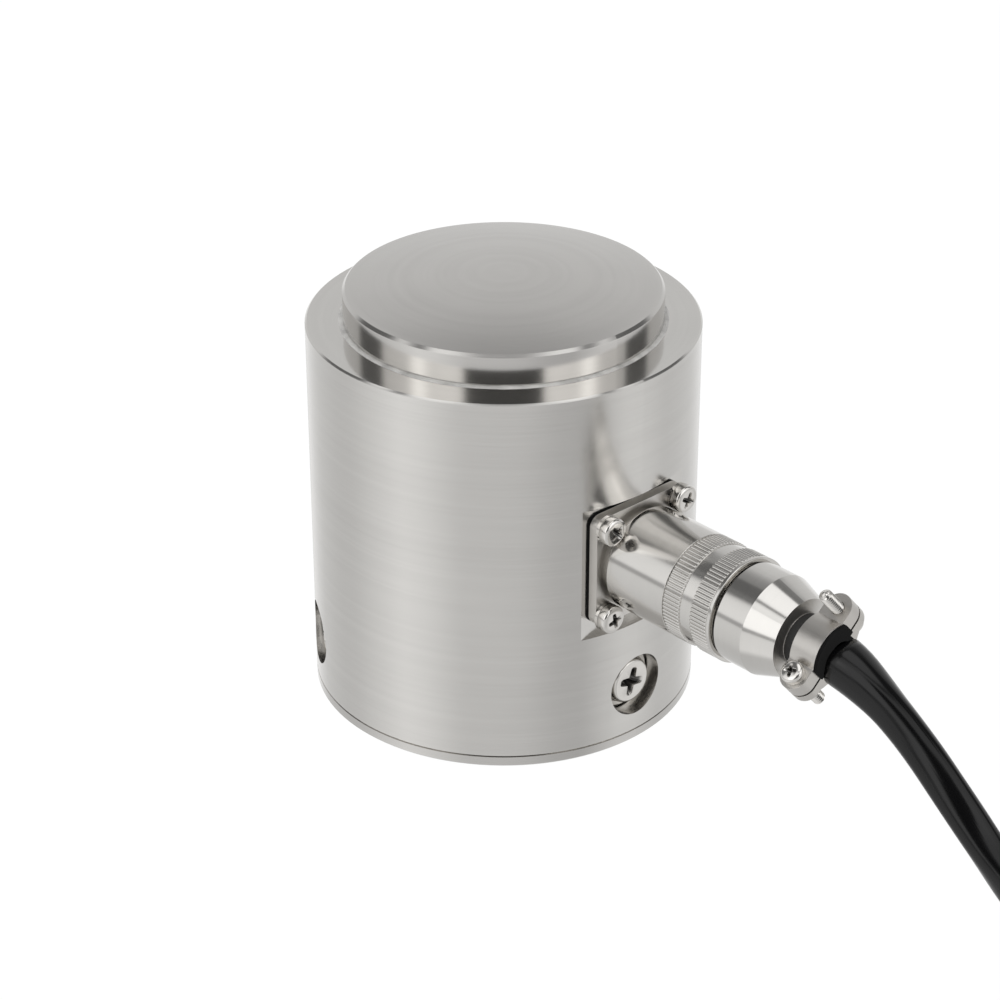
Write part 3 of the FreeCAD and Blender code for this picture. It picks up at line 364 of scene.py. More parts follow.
@dataclass(frozen=True)
class PlatedMetal(Finish):
    """Bright plating over a machined or die-cast piece, with faint tool rings and ripple, and where asked
    painted shade on a neck and in recesses.
    """

    ring_pitch: float = 0.30 * MM
    ring_drift: float = 0.02
    ring_depth: float = 0.0004 * MM
    ripple: float = 0.002 * MM
    ripple_scale: float = 350.0
    cloud_scale: float = 130.0
    pits: float = 0.0
    pit_scale: float = 900.0
    pit_window: tuple[float, float] = (0.02, 0.09)
    pit_depth: float = 0.02 * MM
    shade_start: float = 0.0
    shade_radius: float = 0.0
    shade_soft: float = 0.1 * MM
    neck_painted_shade: float = 0.97
    neck_dull: float = 0.45
    end_dull: float = 0.2
    end_soft: float = 0.02 * MM
    paint_recess_shade: bool = False
    recess_window: tuple[float, float] = (0.1 * MM, 0.7 * MM)
    recess_painted_shade: float = 0.8
    recess_dull: float = 0.15

    def sockets(self, shader: Shader) -> dict[str, Value]:
        """Rings, ripple, the few pits that plating shows, and painted shade where asked."""
        along, radius, first, second = turned_place(shader, Axis.CONNECTOR)
        rings = shader.join(along + first * self.ring_drift, radius + second * self.ring_drift, 0.0)
        fine = shader.swing(rings, 1.0 / self.ring_pitch, 2.0, 0.6)
        waves = shader.swing(shader.place(), self.ripple_scale)
        clouds = shader.swing(shader.place(), self.cloud_scale, 3.0)
        level = 1.0 + clouds * 0.12 + fine * 0.06
        rough = self.roughness + (fine + clouds) * 0.06
        metal: Value = 1.0
        # Painted shade: past shade_start and inside shade_radius, the neck behind the nut is painted near
        # black, dull and not metallic, where shade falls.
        if self.shade_start > 0.0:
            painted_neck_shade = along.smooth(self.shade_start, self.shade_start + self.shade_soft)
            painted_neck_shade = painted_neck_shade * (1.0 - radius.smooth(self.shade_radius, self.shade_radius + self.shade_soft))
            end_start, end_stop = self.shade_start - 2.0 * self.end_soft, self.shade_start + self.end_soft
            end_face = along.between(end_start, end_stop, self.end_soft)
            level = level * (1.0 - painted_neck_shade * self.neck_painted_shade)
            rough = rough + painted_neck_shade * self.neck_dull + end_face * self.end_dull
            metal = 1.0 - painted_neck_shade
        # Painted shade: screw recesses are painted darker the deeper they go below the dome, where shade
        # falls.
        if self.paint_recess_shade:
            deep = shader.attribute("depth").smooth(*self.recess_window)
            level = level * (1.0 - deep * self.recess_painted_shade)
            rough = rough + deep * self.recess_dull
        colour = shader.tinted(self.colour, level)
        normal = shader.bump(waves, self.ripple)
        normal = shader.bump(fine, self.ring_depth, normal=normal)
        if self.pits > 0.0:
            sockets = {"Vector": shader.place(), "Scale": self.pit_scale}
            spots = shader.node("ShaderNodeTexVoronoi", sockets=sockets).output("Distance")
            pits = 1.0 - spots.smooth(*self.pit_window)
            normal = shader.bump(-pits, self.pit_depth, self.pits, normal)
        return {"Base Color": colour, "Metallic": metal, "Roughness": rough, "Normal": normal}


@dataclass(frozen=True)
class Moulded(Finish):
    """Moulded plastic or rubber, with a fine grain."""

    grain: float = 0.004 * MM
    grain_scale: float = 2500.0
    cloud_scale: float = 220.0
    cloud_lift: float = 1.35
    specular: float = 0.5

    def sockets(self, shader: Shader) -> dict[str, Value]:
        """Grain, and a little change of level."""
        grain = shader.noise(shader.place(), self.grain_scale, 2.0)
        clouds = shader.noise(shader.place(), self.cloud_scale, 2.0)
        lighter = tuple(min(1.0, part * self.cloud_lift + 0.004) for part in self.colour[:3]) + (1.0,)
        return {
            "Base Color": shader.blend(clouds.smooth(0.35, 0.75), self.colour, lighter),
            "Roughness": self.roughness + (clouds - 0.5) * 0.15,
            "Specular IOR Level": self.specular,
            "Normal": shader.bump(grain, self.grain),
        }


@dataclass(frozen=True)
class CableJacket(Finish):
    """Black jacket drawn tight over its cores: satin, with long faint die lines."""

    line_scale: float = 3.0
    line_stretch: float = 14.0
    line_depth: float = 0.03 * MM
    bloom_scale: float = 90.0
    bloom_lift: float = 1.7
    specular: float = 0.36

    def sockets(self, shader: Shader) -> dict[str, Value]:
        """Die lines that follow the cable, and a dusty bloom in places."""
        turn = shader.attribute("around") * math.tau
        across, up = turn.maths("COSINE") * self.line_scale, turn.maths("SINE") * self.line_scale
        ring = shader.join(across, up, shader.attribute("along") * self.line_stretch)
        lines = shader.noise(ring, 3.0, 2.0)
        bloom = shader.noise(shader.place(), self.bloom_scale, 3.0)
        lighter = grey(self.colour[0] * self.bloom_lift)
        return {
            "Base Color": shader.blend(bloom.smooth(0.45, 0.8), self.colour, lighter),
            "Roughness": self.roughness + (bloom - 0.5) * 0.14 + (lines - 0.5) * 0.08,
            "Specular IOR Level": self.specular,
            "Normal": shader.bump(lines, self.line_depth, 0.5),
        }


@dataclass(frozen=True)
class CoreInsulation(Finish):
    """Smooth insulation, with each core in a colour of its own."""

    others: tuple[Colour, ...] = (
        (0.02, 0.18, 0.05, 1.0),
        (0.62, 0.62, 0.58, 1.0),
        (0.012, 0.012, 0.012, 1.0),
    )

    def sockets(self, shader: Shader) -> dict[str, Value]:
        """The colour, picked by the number of the core."""
        pick = shader.attribute("loose_piece")
        colour: Value = self.colour
        for index, other in enumerate(self.others):
            share = pick.maths("GREATER_THAN", index + 0.5)
            colour = shader.blend(share, colour, other)
        return {"Base Color": colour, "Roughness": self.roughness}


@dataclass(frozen=True)
class Sealant(Finish):
    """Grey elastic sealant, smoothed by hand, with a patchy tone."""

    smear_scale: float = 260.0
    smear_depth: float = 0.12 * MM
    smear_dark: float = 0.7

    def sockets(self, shader: Shader) -> dict[str, Value]:
        """Smears, darker where they are low."""
        smear = shader.noise(shader.place(), self.smear_scale, 3.0, 0.6)
        darker = tuple(part * self.smear_dark for part in self.colour[:3]) + (1.0,)
        return {
            "Base Color": shader.blend(smear.smooth(0.35, 0.65), darker, self.colour),
            "Roughness": self.roughness + (smear - 0.5) * 0.2,
            "Normal": shader.bump(smear, self.smear_depth),
        }


@dataclass(frozen=True)
class GaugeFoil(Finish):
    """Amber carrier film with the fine etched grid of a strain gauge."""

    line_pitch: float = 0.45 * MM
    line_colour: Colour = (0.55, 0.53, 0.5, 1.0)

    def sockets(self, shader: Shader) -> dict[str, Value]:
        """Grid lines along the loading axis."""
        x, y, _ = shader.parts(shader.place())
        lines = ((x + y) * (math.tau / self.line_pitch)).maths("SINE").smooth(0.1, 0.5)
        return {"Base Color": shader.blend(lines, self.colour, self.line_colour)}


def link(name: str, data: bpy.types.ID, material: bpy.types.Material | None = None) -> bpy.types.Object:
    """A new object in the scene that holds this data, with a material if it is a mesh that has one."""
    made = bpy.data.objects.new(name, data)
    bpy.context.scene.collection.objects.link(made)
    if material is not None:
        data.materials.clear()
        data.materials.append(material)
    return made


def plain_mesh(name: str, build: bmesh.types.BMesh) -> bpy.types.Mesh:
    """A new mesh from a bmesh, which is freed."""
    mesh = bpy.data.meshes.new(name)
    build.to_mesh(mesh)
    build.free()
    return mesh


@dataclass(frozen=True)
class Patch:
    """One panel or gap of the surround, as shiny surfaces see it, alike on both sides of the camera.

    Each window is where it starts, where it ends and how soft its ends are, in degrees.
    """

    aside: tuple[float, float, float]
    above: tuple[float, float, float]
    level: float
    drop: float = 0.0


@dataclass(frozen=True)
class Studio:
    """The light: a plain white surround with soft panels, dark gaps between them and a pale table.

    The two rows of levels give a place in degrees and how bright the surround is there: the table by the
    turn away from the camera, and what stands behind the panels by its height above the table.
    """

    table_size: float = 8.0
    diffuse_level: float = 0.62
    key_watts: float = 3.0
    fill_watts: float = 1.2
    drop_window: tuple[float, float] = (38.0, 98.0)
    far_gap: Patch = Patch((96.0, 124.0, 4.0), (17.0, 46.0, 4.0), 0.15)
    high_gap: Patch = Patch((72.0, 142.0, 6.0), (46.0, 62.0, 4.0), 0.15)
    panel: Patch = Patch((28.0, 95.0, 3.0), (6.0, 47.0, 2.5), 1.45, drop=0.5)
    hot_spot: Patch = Patch((60.0, 66.0, 9.0), (24.0, 37.0, 6.0), 3.2)
    upper_panel: Patch = Patch((-10.0, 72.0, 4.0), (47.0, 61.5, 2.5), 1.15)
    near_gap: Patch = Patch((-10.0, 28.0, 2.0), (6.0, 49.0, 2.5), 0.10)
    ceiling: Patch = Patch((-10.0, 190.0, 2.0), (67.5, 190.0, 2.5), 1.3)
    table_seam: Patch = Patch((30.0, 112.0, 4.0), (-2.0, 5.0, 2.0), 0.45)
    deep_table_level: float = 0.66
    deep_table_window: tuple[float, float] = (-54.0, -38.0)
    horizon_window: tuple[float, float] = (-3.0, 2.0)
    table_top: float = -0.12 * MM
    table_grey: float = 0.9
    table_glow: float = 1.03
    table_white_share: float = 0.955
    lamp_distance: float = 1.1
    lamp_aim: float = 40.0 * MM
    table_levels: tuple[tuple[float, float], ...] = (
        (-180.0, 0.92),
        (-160.0, 0.98),
        (-136.0, 0.76),
        (-112.0, 0.69),
        (-99.0, 0.71),
        (-75.0, 0.90),
        (-62.0, 1.02),
        (-48.0, 0.95),
        (-25.0, 0.74),
        (0.0, 0.73),
        (12.0, 0.71),
        (32.0, 0.60),
        (48.0, 0.58),
        (75.0, 0.86),
        (87.0, 0.84),
        (108.0, 0.70),
        (136.0, 0.76),
        (160.0, 0.93),
        (180.0, 0.92),
    )
    behind_levels: tuple[tuple[float, float], ...] = (
        (0.0, 0.77),
        (14.0, 0.75),
        (30.0, 0.71),
        (38.0, 0.66),
        (44.0, 0.50),
        (50.0, 0.36),
        (57.0, 0.27),
        (70.0, 0.22),
    )

    def build(self) -> None:
        """Make the world, the table and the lamps."""
        self.world()
        self.table()
        self.lamp("key_light", azimuth=-35.0, elevation=55.0, size=0.7, watts=self.key_watts)
        self.lamp("fill_light", azimuth=80.0, elevation=40.0, size=0.9, watts=self.fill_watts)

    def world(self) -> None:
        """White to the eye, and panels and gaps to what shines."""
        world = bpy.data.worlds.new("studio")
        world.use_nodes = True
        bpy.context.scene.world = world
        shader = Shader(world.node_tree)
        shiny = shader.node("ShaderNodeLightPath").output("Is Glossy Ray")
        seen = shader.seen_by_eye()
        level = self.surround(shader) * shiny + (1.0 - shiny) * self.diffuse_level
        level = level * (1.0 - seen) + seen
        sockets = {"Color": shader.tinted(grey(1.0), level), "Strength": 1.0}
        light = shader.node("ShaderNodeBackground", sockets=sockets)
        shader.node("ShaderNodeOutputWorld", sockets={"Surface": light})

    def surround(self, shader: Shader) -> Signal:
        """How bright the surround is in each direction, as shiny surfaces see it."""
        x, y, z = shader.parts(shader.node("ShaderNodeTexCoord").output("Generated"))
        sine, cosine = math.sin(VIEW_TURN), math.cos(VIEW_TURN)
        ahead = x * sine - y * cosine
        aside = x * cosine + y * sine
        degrees = 180.0 / math.pi
        turn = aside.maths("ARCTAN2", ahead) * degrees
        rise = z.maths("ARCSINE") * degrees
        wide = abs(turn)
        level = shader.steps(rise, self.behind_levels)
        patches = (
            self.far_gap,
            self.high_gap,
            self.panel,
            self.hot_spot,
            self.upper_panel,
            self.near_gap,
            self.ceiling,
        )
        for patch in patches:
            level = self.patched(level, patch, wide, rise)
        below = shader.steps(turn, self.table_levels)
        below = self.laid(below, 1.0 - rise.smooth(*self.deep_table_window), self.deep_table_level)
        level = self.laid(level, 1.0 - rise.smooth(*self.horizon_window), below)
        return self.patched(level, self.table_seam, wide, rise)

    def patched(self, under: Signal, patch: Patch, wide: Signal, rise: Signal) -> Signal:
        """A level with one patch laid over it.

        Args:
            under: The level so far.
            patch: The panel or gap.
            wide: Degrees to either side of the camera.
            rise: Degrees above the table.

        Returns:
            The new level.
        """
        over: Signal | float = patch.level
        if patch.drop > 0.0:
            over = patch.level - wide.smooth(*self.drop_window) * patch.drop
        return self.laid(under, wide.between(*patch.aside) * rise.between(*patch.above), over)

    @staticmethod
    def laid(under: Signal, share: Signal, over: Signal | float) -> Signal:
        """One level laid over another by a share."""
        return under * (1.0 - share) + share * over

    def table(self) -> None:
        """A pale table that keeps a faint shadow and is white to the eye."""
        build = bmesh.new()
        bmesh.ops.create_grid(build, x_segments=1, y_segments=1, size=self.table_size / 2)
        mesh = plain_mesh("table", build)
        mesh.transform(Matrix.Translation((0.0, 0.0, self.table_top)))
        floor = link("table", mesh)
        floor.visible_glossy = False
        material = bpy.data.materials.new("table_white")
        material.use_nodes = True
        shader = Shader(material.node_tree)
        matt = shader.node("ShaderNodeBsdfDiffuse", sockets={"Color": grey(self.table_grey)})
        sockets = {"Color": grey(1.0), "Strength": self.table_glow}
        white = shader.node("ShaderNodeEmission", sockets=sockets)
        share = shader.seen_by_eye() * self.table_white_share
        sockets = {"Fac": share, "Shader": matt, "Shader_001": white}
        mixed = shader.node("ShaderNodeMixShader", sockets=sockets)
        shader.node("ShaderNodeOutputMaterial", sockets={"Surface": mixed})
        mesh.materials.append(material)

    def lamp(self, name: str, azimuth: float, elevation: float, size: float, watts: float) -> None:
        """A square soft lamp, aimed at the object.

        Args:
            name: The lamp's name.
            azimuth: Degrees to the right of the camera, seen from the object.
            elevation: Degrees above the table.
            size: The lamp's side in metres.
            watts: Its power.
        """
        data = bpy.data.lights.new(name, "AREA")
        data.shape = "SQUARE"
        data.size = size
        data.energy = watts
        lamp = link(name, data)
        turn = VIEW_TURN + math.radians(azimuth)
        rise = math.radians(elevation)
        out = Vector((math.sin(turn) * math.cos(rise), -math.cos(turn) * math.cos(rise), math.sin(rise)))
        lamp.location = Vector((0.0, 0.0, self.lamp_aim)) + out * self.lamp_distance
        lamp.rotation_euler = out.to_track_quat("Z", "Y").to_euler()
        lamp.visible_glossy = False


@dataclass(frozen=True)
class Camera:
    """The photograph's viewpoint, worked out from the body's outline."""

    back: float = 502.63 * MM
    height: float = 313.42 * MM
    pitch: float = math.radians(28.743)
    yaw: float = -0.0015
    roll: float = -0.0019
    lens: float = 104.33
    sensor: float = 36.0

    def build(self) -> None:
        """Make the camera and use it."""
        data = bpy.data.cameras.new("camera")
        data.lens = self.lens
        data.sensor_width = self.sensor
        data.clip_start = 0.01
        data.clip_end = 50.0
        camera = link("camera", data)
        swing = Matrix.Rotation(VIEW_TURN, 4, "Z")
        spot = Matrix.Translation((0.0, -self.back, self.height))
        aim = Matrix.Rotation(-self.yaw, 4, "Z") @ Matrix.Rotation(math.pi / 2 - self.pitch, 4, "X")
        camera.matrix_world = swing @ spot @ aim @ Matrix.Rotation(self.roll, 4, "Z")
        bpy.context.scene.camera = camera


@dataclass(frozen=True)
class Corner:
    """One corner of a turned outline: along the axis, out from it, and how much it is rounded."""

    along: float
    radius: float
    rounding: float = 0.0


def rounded_outline(corners: Sequence[Corner], steps: int = 5) -> list[tuple[float, float]]:
    """An outline with its corners rounded by arcs, each kept apart from the long faces by a guard point.

    Args:
        corners: The outline's corners in order, closed from the last to the first.
        steps: How many points an arc has after its first.

    Returns:
        Points along and out from the axis.
    """
    points: list[tuple[float, float]] = []
    for index, corner in enumerate(corners):
        here = Vector((corner.along, corner.radius))
        if corner.rounding <= 0.0:
            points.append((here.x, here.y))
            continue
        before = Vector((corners[index - 1].along, corners[index - 1].radius))
        following = corners[(index + 1) % len(corners)]
        after = Vector((following.along, following.radius))
        back = (before - here).normalized()
        ahead = (after - here).normalized()
        half = back.angle(ahead) / 2
        reach = corner.rounding / math.tan(half)
        centre = here + (back + ahead).normalized() * (corner.rounding / math.sin(half))
        start = here + back * reach - centre
        sweep = start.angle_signed(here + ahead * reach - centre)
        guard = reach + corner.rounding * GUARD_SHARE
        points.append(tuple(here + back * guard))
        for step in range(steps + 1):
            turned = start.copy()
            turned.rotate(Matrix.Rotation(-sweep * step / steps, 2))
            points.append(tuple(centre + turned))
        points.append(tuple(here + ahead * guard))
    return points


def mesh_from(name: str, build: bmesh.types.BMesh, crease: float = 35.0) -> bpy.types.Mesh:
    """A mesh from a bmesh, smooth but for its creases.

    Args:
        name: The mesh's name.
        build: The bmesh, which is freed.
        crease: The angle in degrees past which an edge stays sharp.

    Returns:
        The new mesh.
    """
    limit = math.radians(crease)
    for face in build.faces:
        face.smooth = True
    for edge in build.edges:
        edge.smooth = len(edge.link_faces) == 2 and edge.calc_face_angle(math.pi) < limit
    return plain_mesh(name, build)


def on_axis(axis: Axis, along: float, radius: float, angle: float, centre: float = 0.0) -> Vector:
    """A point at a distance along an axis, out from it, and turned about it.

    Args:
        axis: The line.
        along: The distance along it.
        radius: The distance out from it.
        angle: The turn about it, in radians.
        centre: The height of the connector's line.

    Returns:
        The point.
    """
    first, second = radius * math.cos(angle), radius * math.sin(angle)
    if axis is Axis.CONNECTOR:
        return Vector((along, first, centre + second))
    return Vector((first, second, along))


def bridge(
    build: bmesh.types.BMesh, rings: Sequence[Sequence[bmesh.types.BMVert]], capped: bool = False
) -> None:
    """Join rings of equally many points by four-sided faces that point outwards.

    Args:
        build: The bmesh that holds the points.
        rings: The rings in order.
        capped: Whether the first and the last ring are filled.
    """
    for here, there in zip(rings, rings[1:]):
        for j in range(len(here)):
            k = (j + 1) % len(here)
            build.faces.new((here[j], here[k], there[k], there[j]))
    if capped:
        build.faces.new(reversed(rings[0]))
        build.faces.new(rings[-1])
    bmesh.ops.recalc_face_normals(build, faces=build.faces)


def turned_mesh(
    name: str, outline: Sequence[tuple[float, float]], axis: Axis, centre: float = 0.0, segments: int = 192
) -> bpy.types.Mesh:
    """A closed mesh turned about an axis from a closed outline.

    Args:
        name: The mesh's name.
        outline: Points along and out from the axis. A point on the axis is one vertex.
        axis: The line it is turned about.
        centre: The height of the connector's line.
        segments: How many steps a full turn has.

    Returns:
        The mesh, with its faces pointing outwards.
    """
    build = bmesh.new()
    rings: list[list[bmesh.types.BMVert]] = []
    for along, radius in outline:
        count = 1 if radius < ON_AXIS else segments
        angles = (math.tau * i / segments for i in range(count))
        rings.append([build.verts.new(on_axis(axis, along, radius, angle, centre)) for angle in angles])
    for here, there in zip(rings, rings[1:] + rings[:1]):
        if len(here) == 1 and len(there) == 1:
            continue
        for i in range(segments):
            k = i + 1
            ring = (here[i % len(here)], here[k % len(here)], there[k % len(there)], there[i % len(there)])
            build.faces.new(list(dict.fromkeys(ring)))
    bmesh.ops.recalc_face_normals(build, faces=build.faces)
    return mesh_from(name, build)


class Pattern(NodeBuilder):
    """A geometry node group with named inputs, whose result becomes a plain mesh."""

    def __init__(self, name: str) -> None:
        """Make an empty group with one geometry output."""
        self.group = bpy.data.node_groups.new(name, "GeometryNodeTree")
        super().__init__(self.group)
        self.group.interface.new_socket("Geometry", in_out="OUTPUT", socket_type="NodeSocketGeometry")
        self.values: dict[str, Value] = {}

    def given(self, name: str, value: Value, kind: str = "Float") -> Signal:
        """A named input of the group, with the value that the piece uses."""
        item = self.group.interface.new_socket(name, in_out="INPUT", socket_type="NodeSocket" + kind)
        self.values[item.identifier] = value
        return self.node("NodeGroupInput").output(item.identifier)

    def piece(self, name: str, geometry: Signal, material: bpy.types.Material) -> bpy.types.Object:
        """Realize the geometry as a plain mesh.

        Args:
            name: The piece's name.
            geometry: The geometry to keep.
            material: Its material.

        Returns:
            The new object, with no modifier.
        """
        real = self.node("GeometryNodeRealizeInstances", sockets={"Geometry": geometry})
        dressed = self.node("GeometryNodeSetMaterial", sockets={"Geometry": real, "Material": material})
        self.node("NodeGroupOutput", sockets={"Geometry": dressed})
        carrier = link(name + "_pattern", bpy.data.meshes.new(name + "_pattern"))
        modifier = carrier.modifiers.new("pattern", "NODES")
        modifier.node_group = self.group
        for identifier, value in self.values.items():
            modifier[identifier] = value
        return link(name, realized(carrier, name))

    def from_object(self, name: str, value: bpy.types.Object) -> Signal:
        """The geometry of an object that is a named input of the group."""
        sockets = {"Object": self.given(name, value, "Object")}
        return self.node("GeometryNodeObjectInfo", sockets=sockets).output("Geometry")


def hand_over(piece: bpy.types.Object, body: Body, replaces: Sequence[str]) -> None:
    """Put a piece on its body and hide the solids it stands for."""
    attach(piece, body.value)
    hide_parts(*replaces)
    LOG.info("%s rides on %s, %d faces", piece.name, body.value, len(piece.data.polygons))


def dress(node: str, material: bpy.types.Material) -> None:
    """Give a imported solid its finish."""
    mesh = frame["nodes"][node].data
    mesh.materials.clear()
    mesh.materials.append(material)
    LOG.info("%s dressed in %s", node, material.name)


def realized(carrier: bpy.types.Object, name: str) -> bpy.types.Mesh:
    """The plain mesh of an object with its modifiers, which is then removed."""
    graph = bpy.context.evaluated_depsgraph_get()
    mesh = bpy.data.meshes.new_from_object(carrier.evaluated_get(graph), depsgraph=graph)
    mesh.name = name
    bpy.data.objects.remove(carrier)
    return mesh


def ease_edges(carrier: bpy.types.Object, width: float, sharp: float) -> None:
    """Round the edges that turn by more than an angle in degrees."""
    ease = carrier.modifiers.new("ease", "BEVEL")
    ease.width = width
    ease.segments = 2
    ease.limit_method = "ANGLE"
    ease.angle_limit = math.radians(sharp)


@dataclass(frozen=True)
class Pose:
    """How a drawn piece is placed: drawn with its axis on +Z at the origin, then aimed and moved."""

    place: Vector
    aim: Vector
    spin: float = 0.0

    def matrix(self) -> Matrix:
        """The turn and the move as one matrix."""
        turn = self.aim.to_track_quat("Z", "Y").to_matrix().to_4x4()
        return Matrix.Translation(self.place) @ turn @ Matrix.Rotation(self.spin, 4, "Z")


@dataclass(frozen=True)
class Thread:
    """A screw thread, drawn as one closed mesh whose section runs round as a helix."""

    major: float
    minor: float
    pitch: float
    length: float
    tip: float = 0.35 * MM
    tip_slope: float = 0.8
    flank: float = 1.5
    segments: int = 48
    steps: int = 8

    def radius(self, along: float, turn: float) -> float:
        """The outer radius at a distance along the thread and a share of a turn."""
        phase = (along / self.pitch - turn) % 1.0
        crest = 1.0 - abs(2.0 * phase - 1.0)
        crest = min(1.0, max(0.0, 0.5 + (crest - 0.5) * self.flank))
        fade = min(1.0, along / self.pitch, (self.length - along) / self.tip)
        reach = self.minor + (self.major - self.minor) * crest * max(0.0, fade)
        if self.length - along < self.tip:
            reach -= (self.tip - self.length + along) * self.tip_slope
        return reach

    def mesh(self, name: str) -> bpy.types.Mesh:
        """The thread standing on the origin along +Z."""
        build = bmesh.new()
        count = max(2, round(self.length / self.pitch * self.steps))
        rings = []
        for i in range(count + 1):
            along = self.length * i / count
            ring = []
            for j in range(self.segments):
                turn = j / self.segments
                spot = on_axis(Axis.LOADING, along, self.radius(along, turn), turn * math.tau)
                ring.append(build.verts.new(spot))
            rings.append(ring)
        bridge(build, rings, capped=True)
        return mesh_from(name, build, crease=60.0)


@dataclass(frozen=True)
class PanHead:
    """A screw head with a cross recess, drawn upwards from its seat at the origin.

    It is domed, or else flat over a share of its radius and standing on a washer.
    """

    diameter: float
    height: float
    recess: float
    recess_depth: float
    dome: float = 0.34
    flat: float = 0.0
    washer: float = 0.0
    washer_height: float = 1.1 * MM
    crown: float = 0.9
    shoulder: float = 0.55
    segments: int = 72

    def outline(self) -> list[tuple[float, float]]:
        """The head's turned outline: a short side, a rounded shoulder and a shallow dome."""
        r = self.diameter / 2
        side = self.height * (1.0 - self.dome)
        if self.flat > 0.0:
            edge = self.height * 0.12
            corners = [
                Corner(0.0, 0.0),
                Corner(0.0, self.washer / 2, 0.15 * MM),
                Corner(self.washer_height, self.washer / 2, 0.2 * MM),
                Corner(self.washer_height, r, 0.05 * MM),
                Corner(side, r, edge),
                Corner(self.height, r * self.flat, edge * 1.5),
                Corner(self.height, 0.0),
            ]
            return rounded_outline(corners)
        points = [(0.0, 0.0), (0.0, r * 0.97), (self.height * 0.08, r)]
        steps = 10
        for i in range(steps):
            angle = math.pi / 2 * i / steps
            rise = (self.height - side) * math.sin(angle) ** self.crown
            points.append((side + rise, r * math.cos(angle) ** self.shoulder))
        points.append((self.height, 0.0))
        return points

    def top_at(self, radius: float) -> float:
        """The height of the dome at a radius, before the recess is cut."""
        if self.flat > 0.0:
            return self.height
        cosine = min(1.0, radius / (self.diameter / 2)) ** (1 / self.shoulder)
        side = self.height * (1.0 - self.dome)
        return side + (self.height - side) * math.sqrt(1.0 - cosine * cosine) ** self.crown

    def recess_mesh(self) -> bpy.types.Mesh:
        """The cross-shaped cutter, tapered to its tip and open above the head.

        Each level has its height, and the share of their reach and thickness that its arms have.
        """
        build = bmesh.new()
        reach, half = self.recess / 2, self.recess * 0.12
        levels = ((self.height * 1.2, 1.12, 1.05), (self.height - self.recess_depth, 0.42, 0.7))
        rings = []
        for level, wide, thick in levels:
            ring = []
            for arm in range(4):
                turn = Matrix.Rotation(math.tau * arm / 4, 2)
                arms = (
                    (reach * wide * 0.9, -half * thick),
                    (reach * wide, -half * thick * 0.6),
                    (reach * wide, half * thick * 0.6),
                    (reach * wide * 0.9, half * thick),
                    (half * thick * 1.25, half * thick * 1.25),
                )
                for x, y in arms:
                    spot = turn @ Vector((x, y))
                    ring.append(build.verts.new((spot.x, spot.y, level)))
            rings.append(ring)
        top, low = rings
        tip = build.verts.new((0.0, 0.0, self.height - self.recess_depth * 1.25))
        count = len(top)
        for i in range(count):
            k = (i + 1) % count
            build.faces.new((top[i], top[k], low[k], low[i]))
            build.faces.new((low[i], low[k], tip))
        build.faces.new(top)
        bmesh.ops.recalc_face_normals(build, faces=build.faces)
        return plain_mesh("recess", build)

    def mesh(self, name: str) -> bpy.types.Mesh:
        """The finished head, with its recess cut and its edges eased."""
        turned = turned_mesh(name + "_head", self.outline(), Axis.LOADING, segments=self.segments)
        body = link(name + "_head", turned)
        cutter = link(name + "_recess", self.recess_mesh())
        cut = body.modifiers.new("recess", "BOOLEAN")
        cut.operation = "DIFFERENCE"
        cut.solver = "EXACT"
        cut.object = cutter
        ease_edges(body, 0.05 * MM, 38.0)
        mesh = realized(body, name)
        bpy.data.objects.remove(cutter)
        build = bmesh.new()
        build.from_mesh(mesh)
        bpy.data.meshes.remove(mesh)
        # Depth below the dome, which the finish uses to paint shade into the recess.
        depth = build.verts.layers.float.new("depth")
        for vert in build.verts:
            radius = math.hypot(vert.co.x, vert.co.y)
            if radius < self.recess * 0.58:
                vert[depth] = max(0.0, self.top_at(radius) - vert.co.z)
        return mesh_from(name, build, crease=42.0)


def joined_mesh(name: str, meshes: Sequence[bpy.types.Mesh], crease: float) -> bpy.types.Mesh:
    """One mesh of several, smooth but for its creases."""
    build = bmesh.new()
    for mesh in meshes:
        build.from_mesh(mesh)
        bpy.data.meshes.remove(mesh)
    return mesh_from(name, build, crease)


def split_ring_mesh(
    name: str, inner: float, outer: float, thickness: float, gap: float, lift: float
) -> bpy.types.Mesh:
    """A split spring washer, one end lifted by a part of its thickness.

    Args:
        name: The mesh's name.
        inner: Its inner radius.
        outer: Its outer radius.
        thickness: Its thickness.
        gap: The gap's width at the middle of the ring.
        lift: How far one end stands up.

    Returns:
        The closed mesh, standing on the origin with its axis on +Z.
    """
    build = bmesh.new()
    steps = 60
    start = gap / (inner + outer)
    rings = []
    for i in range(steps + 1):
        share = i / steps
        angle = start + (math.tau - 2 * start) * share
        low = lift * share
        high = thickness - lift * (1.0 - share)
        section = ((low, inner), (low, outer), (high, outer), (high, inner))
        rings.append([build.verts.new(on_axis(Axis.LOADING, z, r, angle)) for z, r in section])
    bridge(build, rings, capped=True)
    return mesh_from(name, build)


def number_loose_pieces(build: bmesh.types.BMesh) -> None:
    """Number the loose pieces of a mesh from 0, in the attribute "loose_piece" of their points."""
    layer = build.verts.layers.float.new("loose_piece")
    seen: set[bmesh.types.BMVert] = set()
    number = 0
    for first in build.verts:
        if first in seen:
            continue
        group = [first]
        seen.add(first)
        while group:
            vertex = group.pop()
            vertex[layer] = float(number)
            for other in (edge.other_vert(vertex) for edge in vertex.link_edges):
                if other not in seen:
                    seen.add(other)
                    group.append(other)
        number += 1


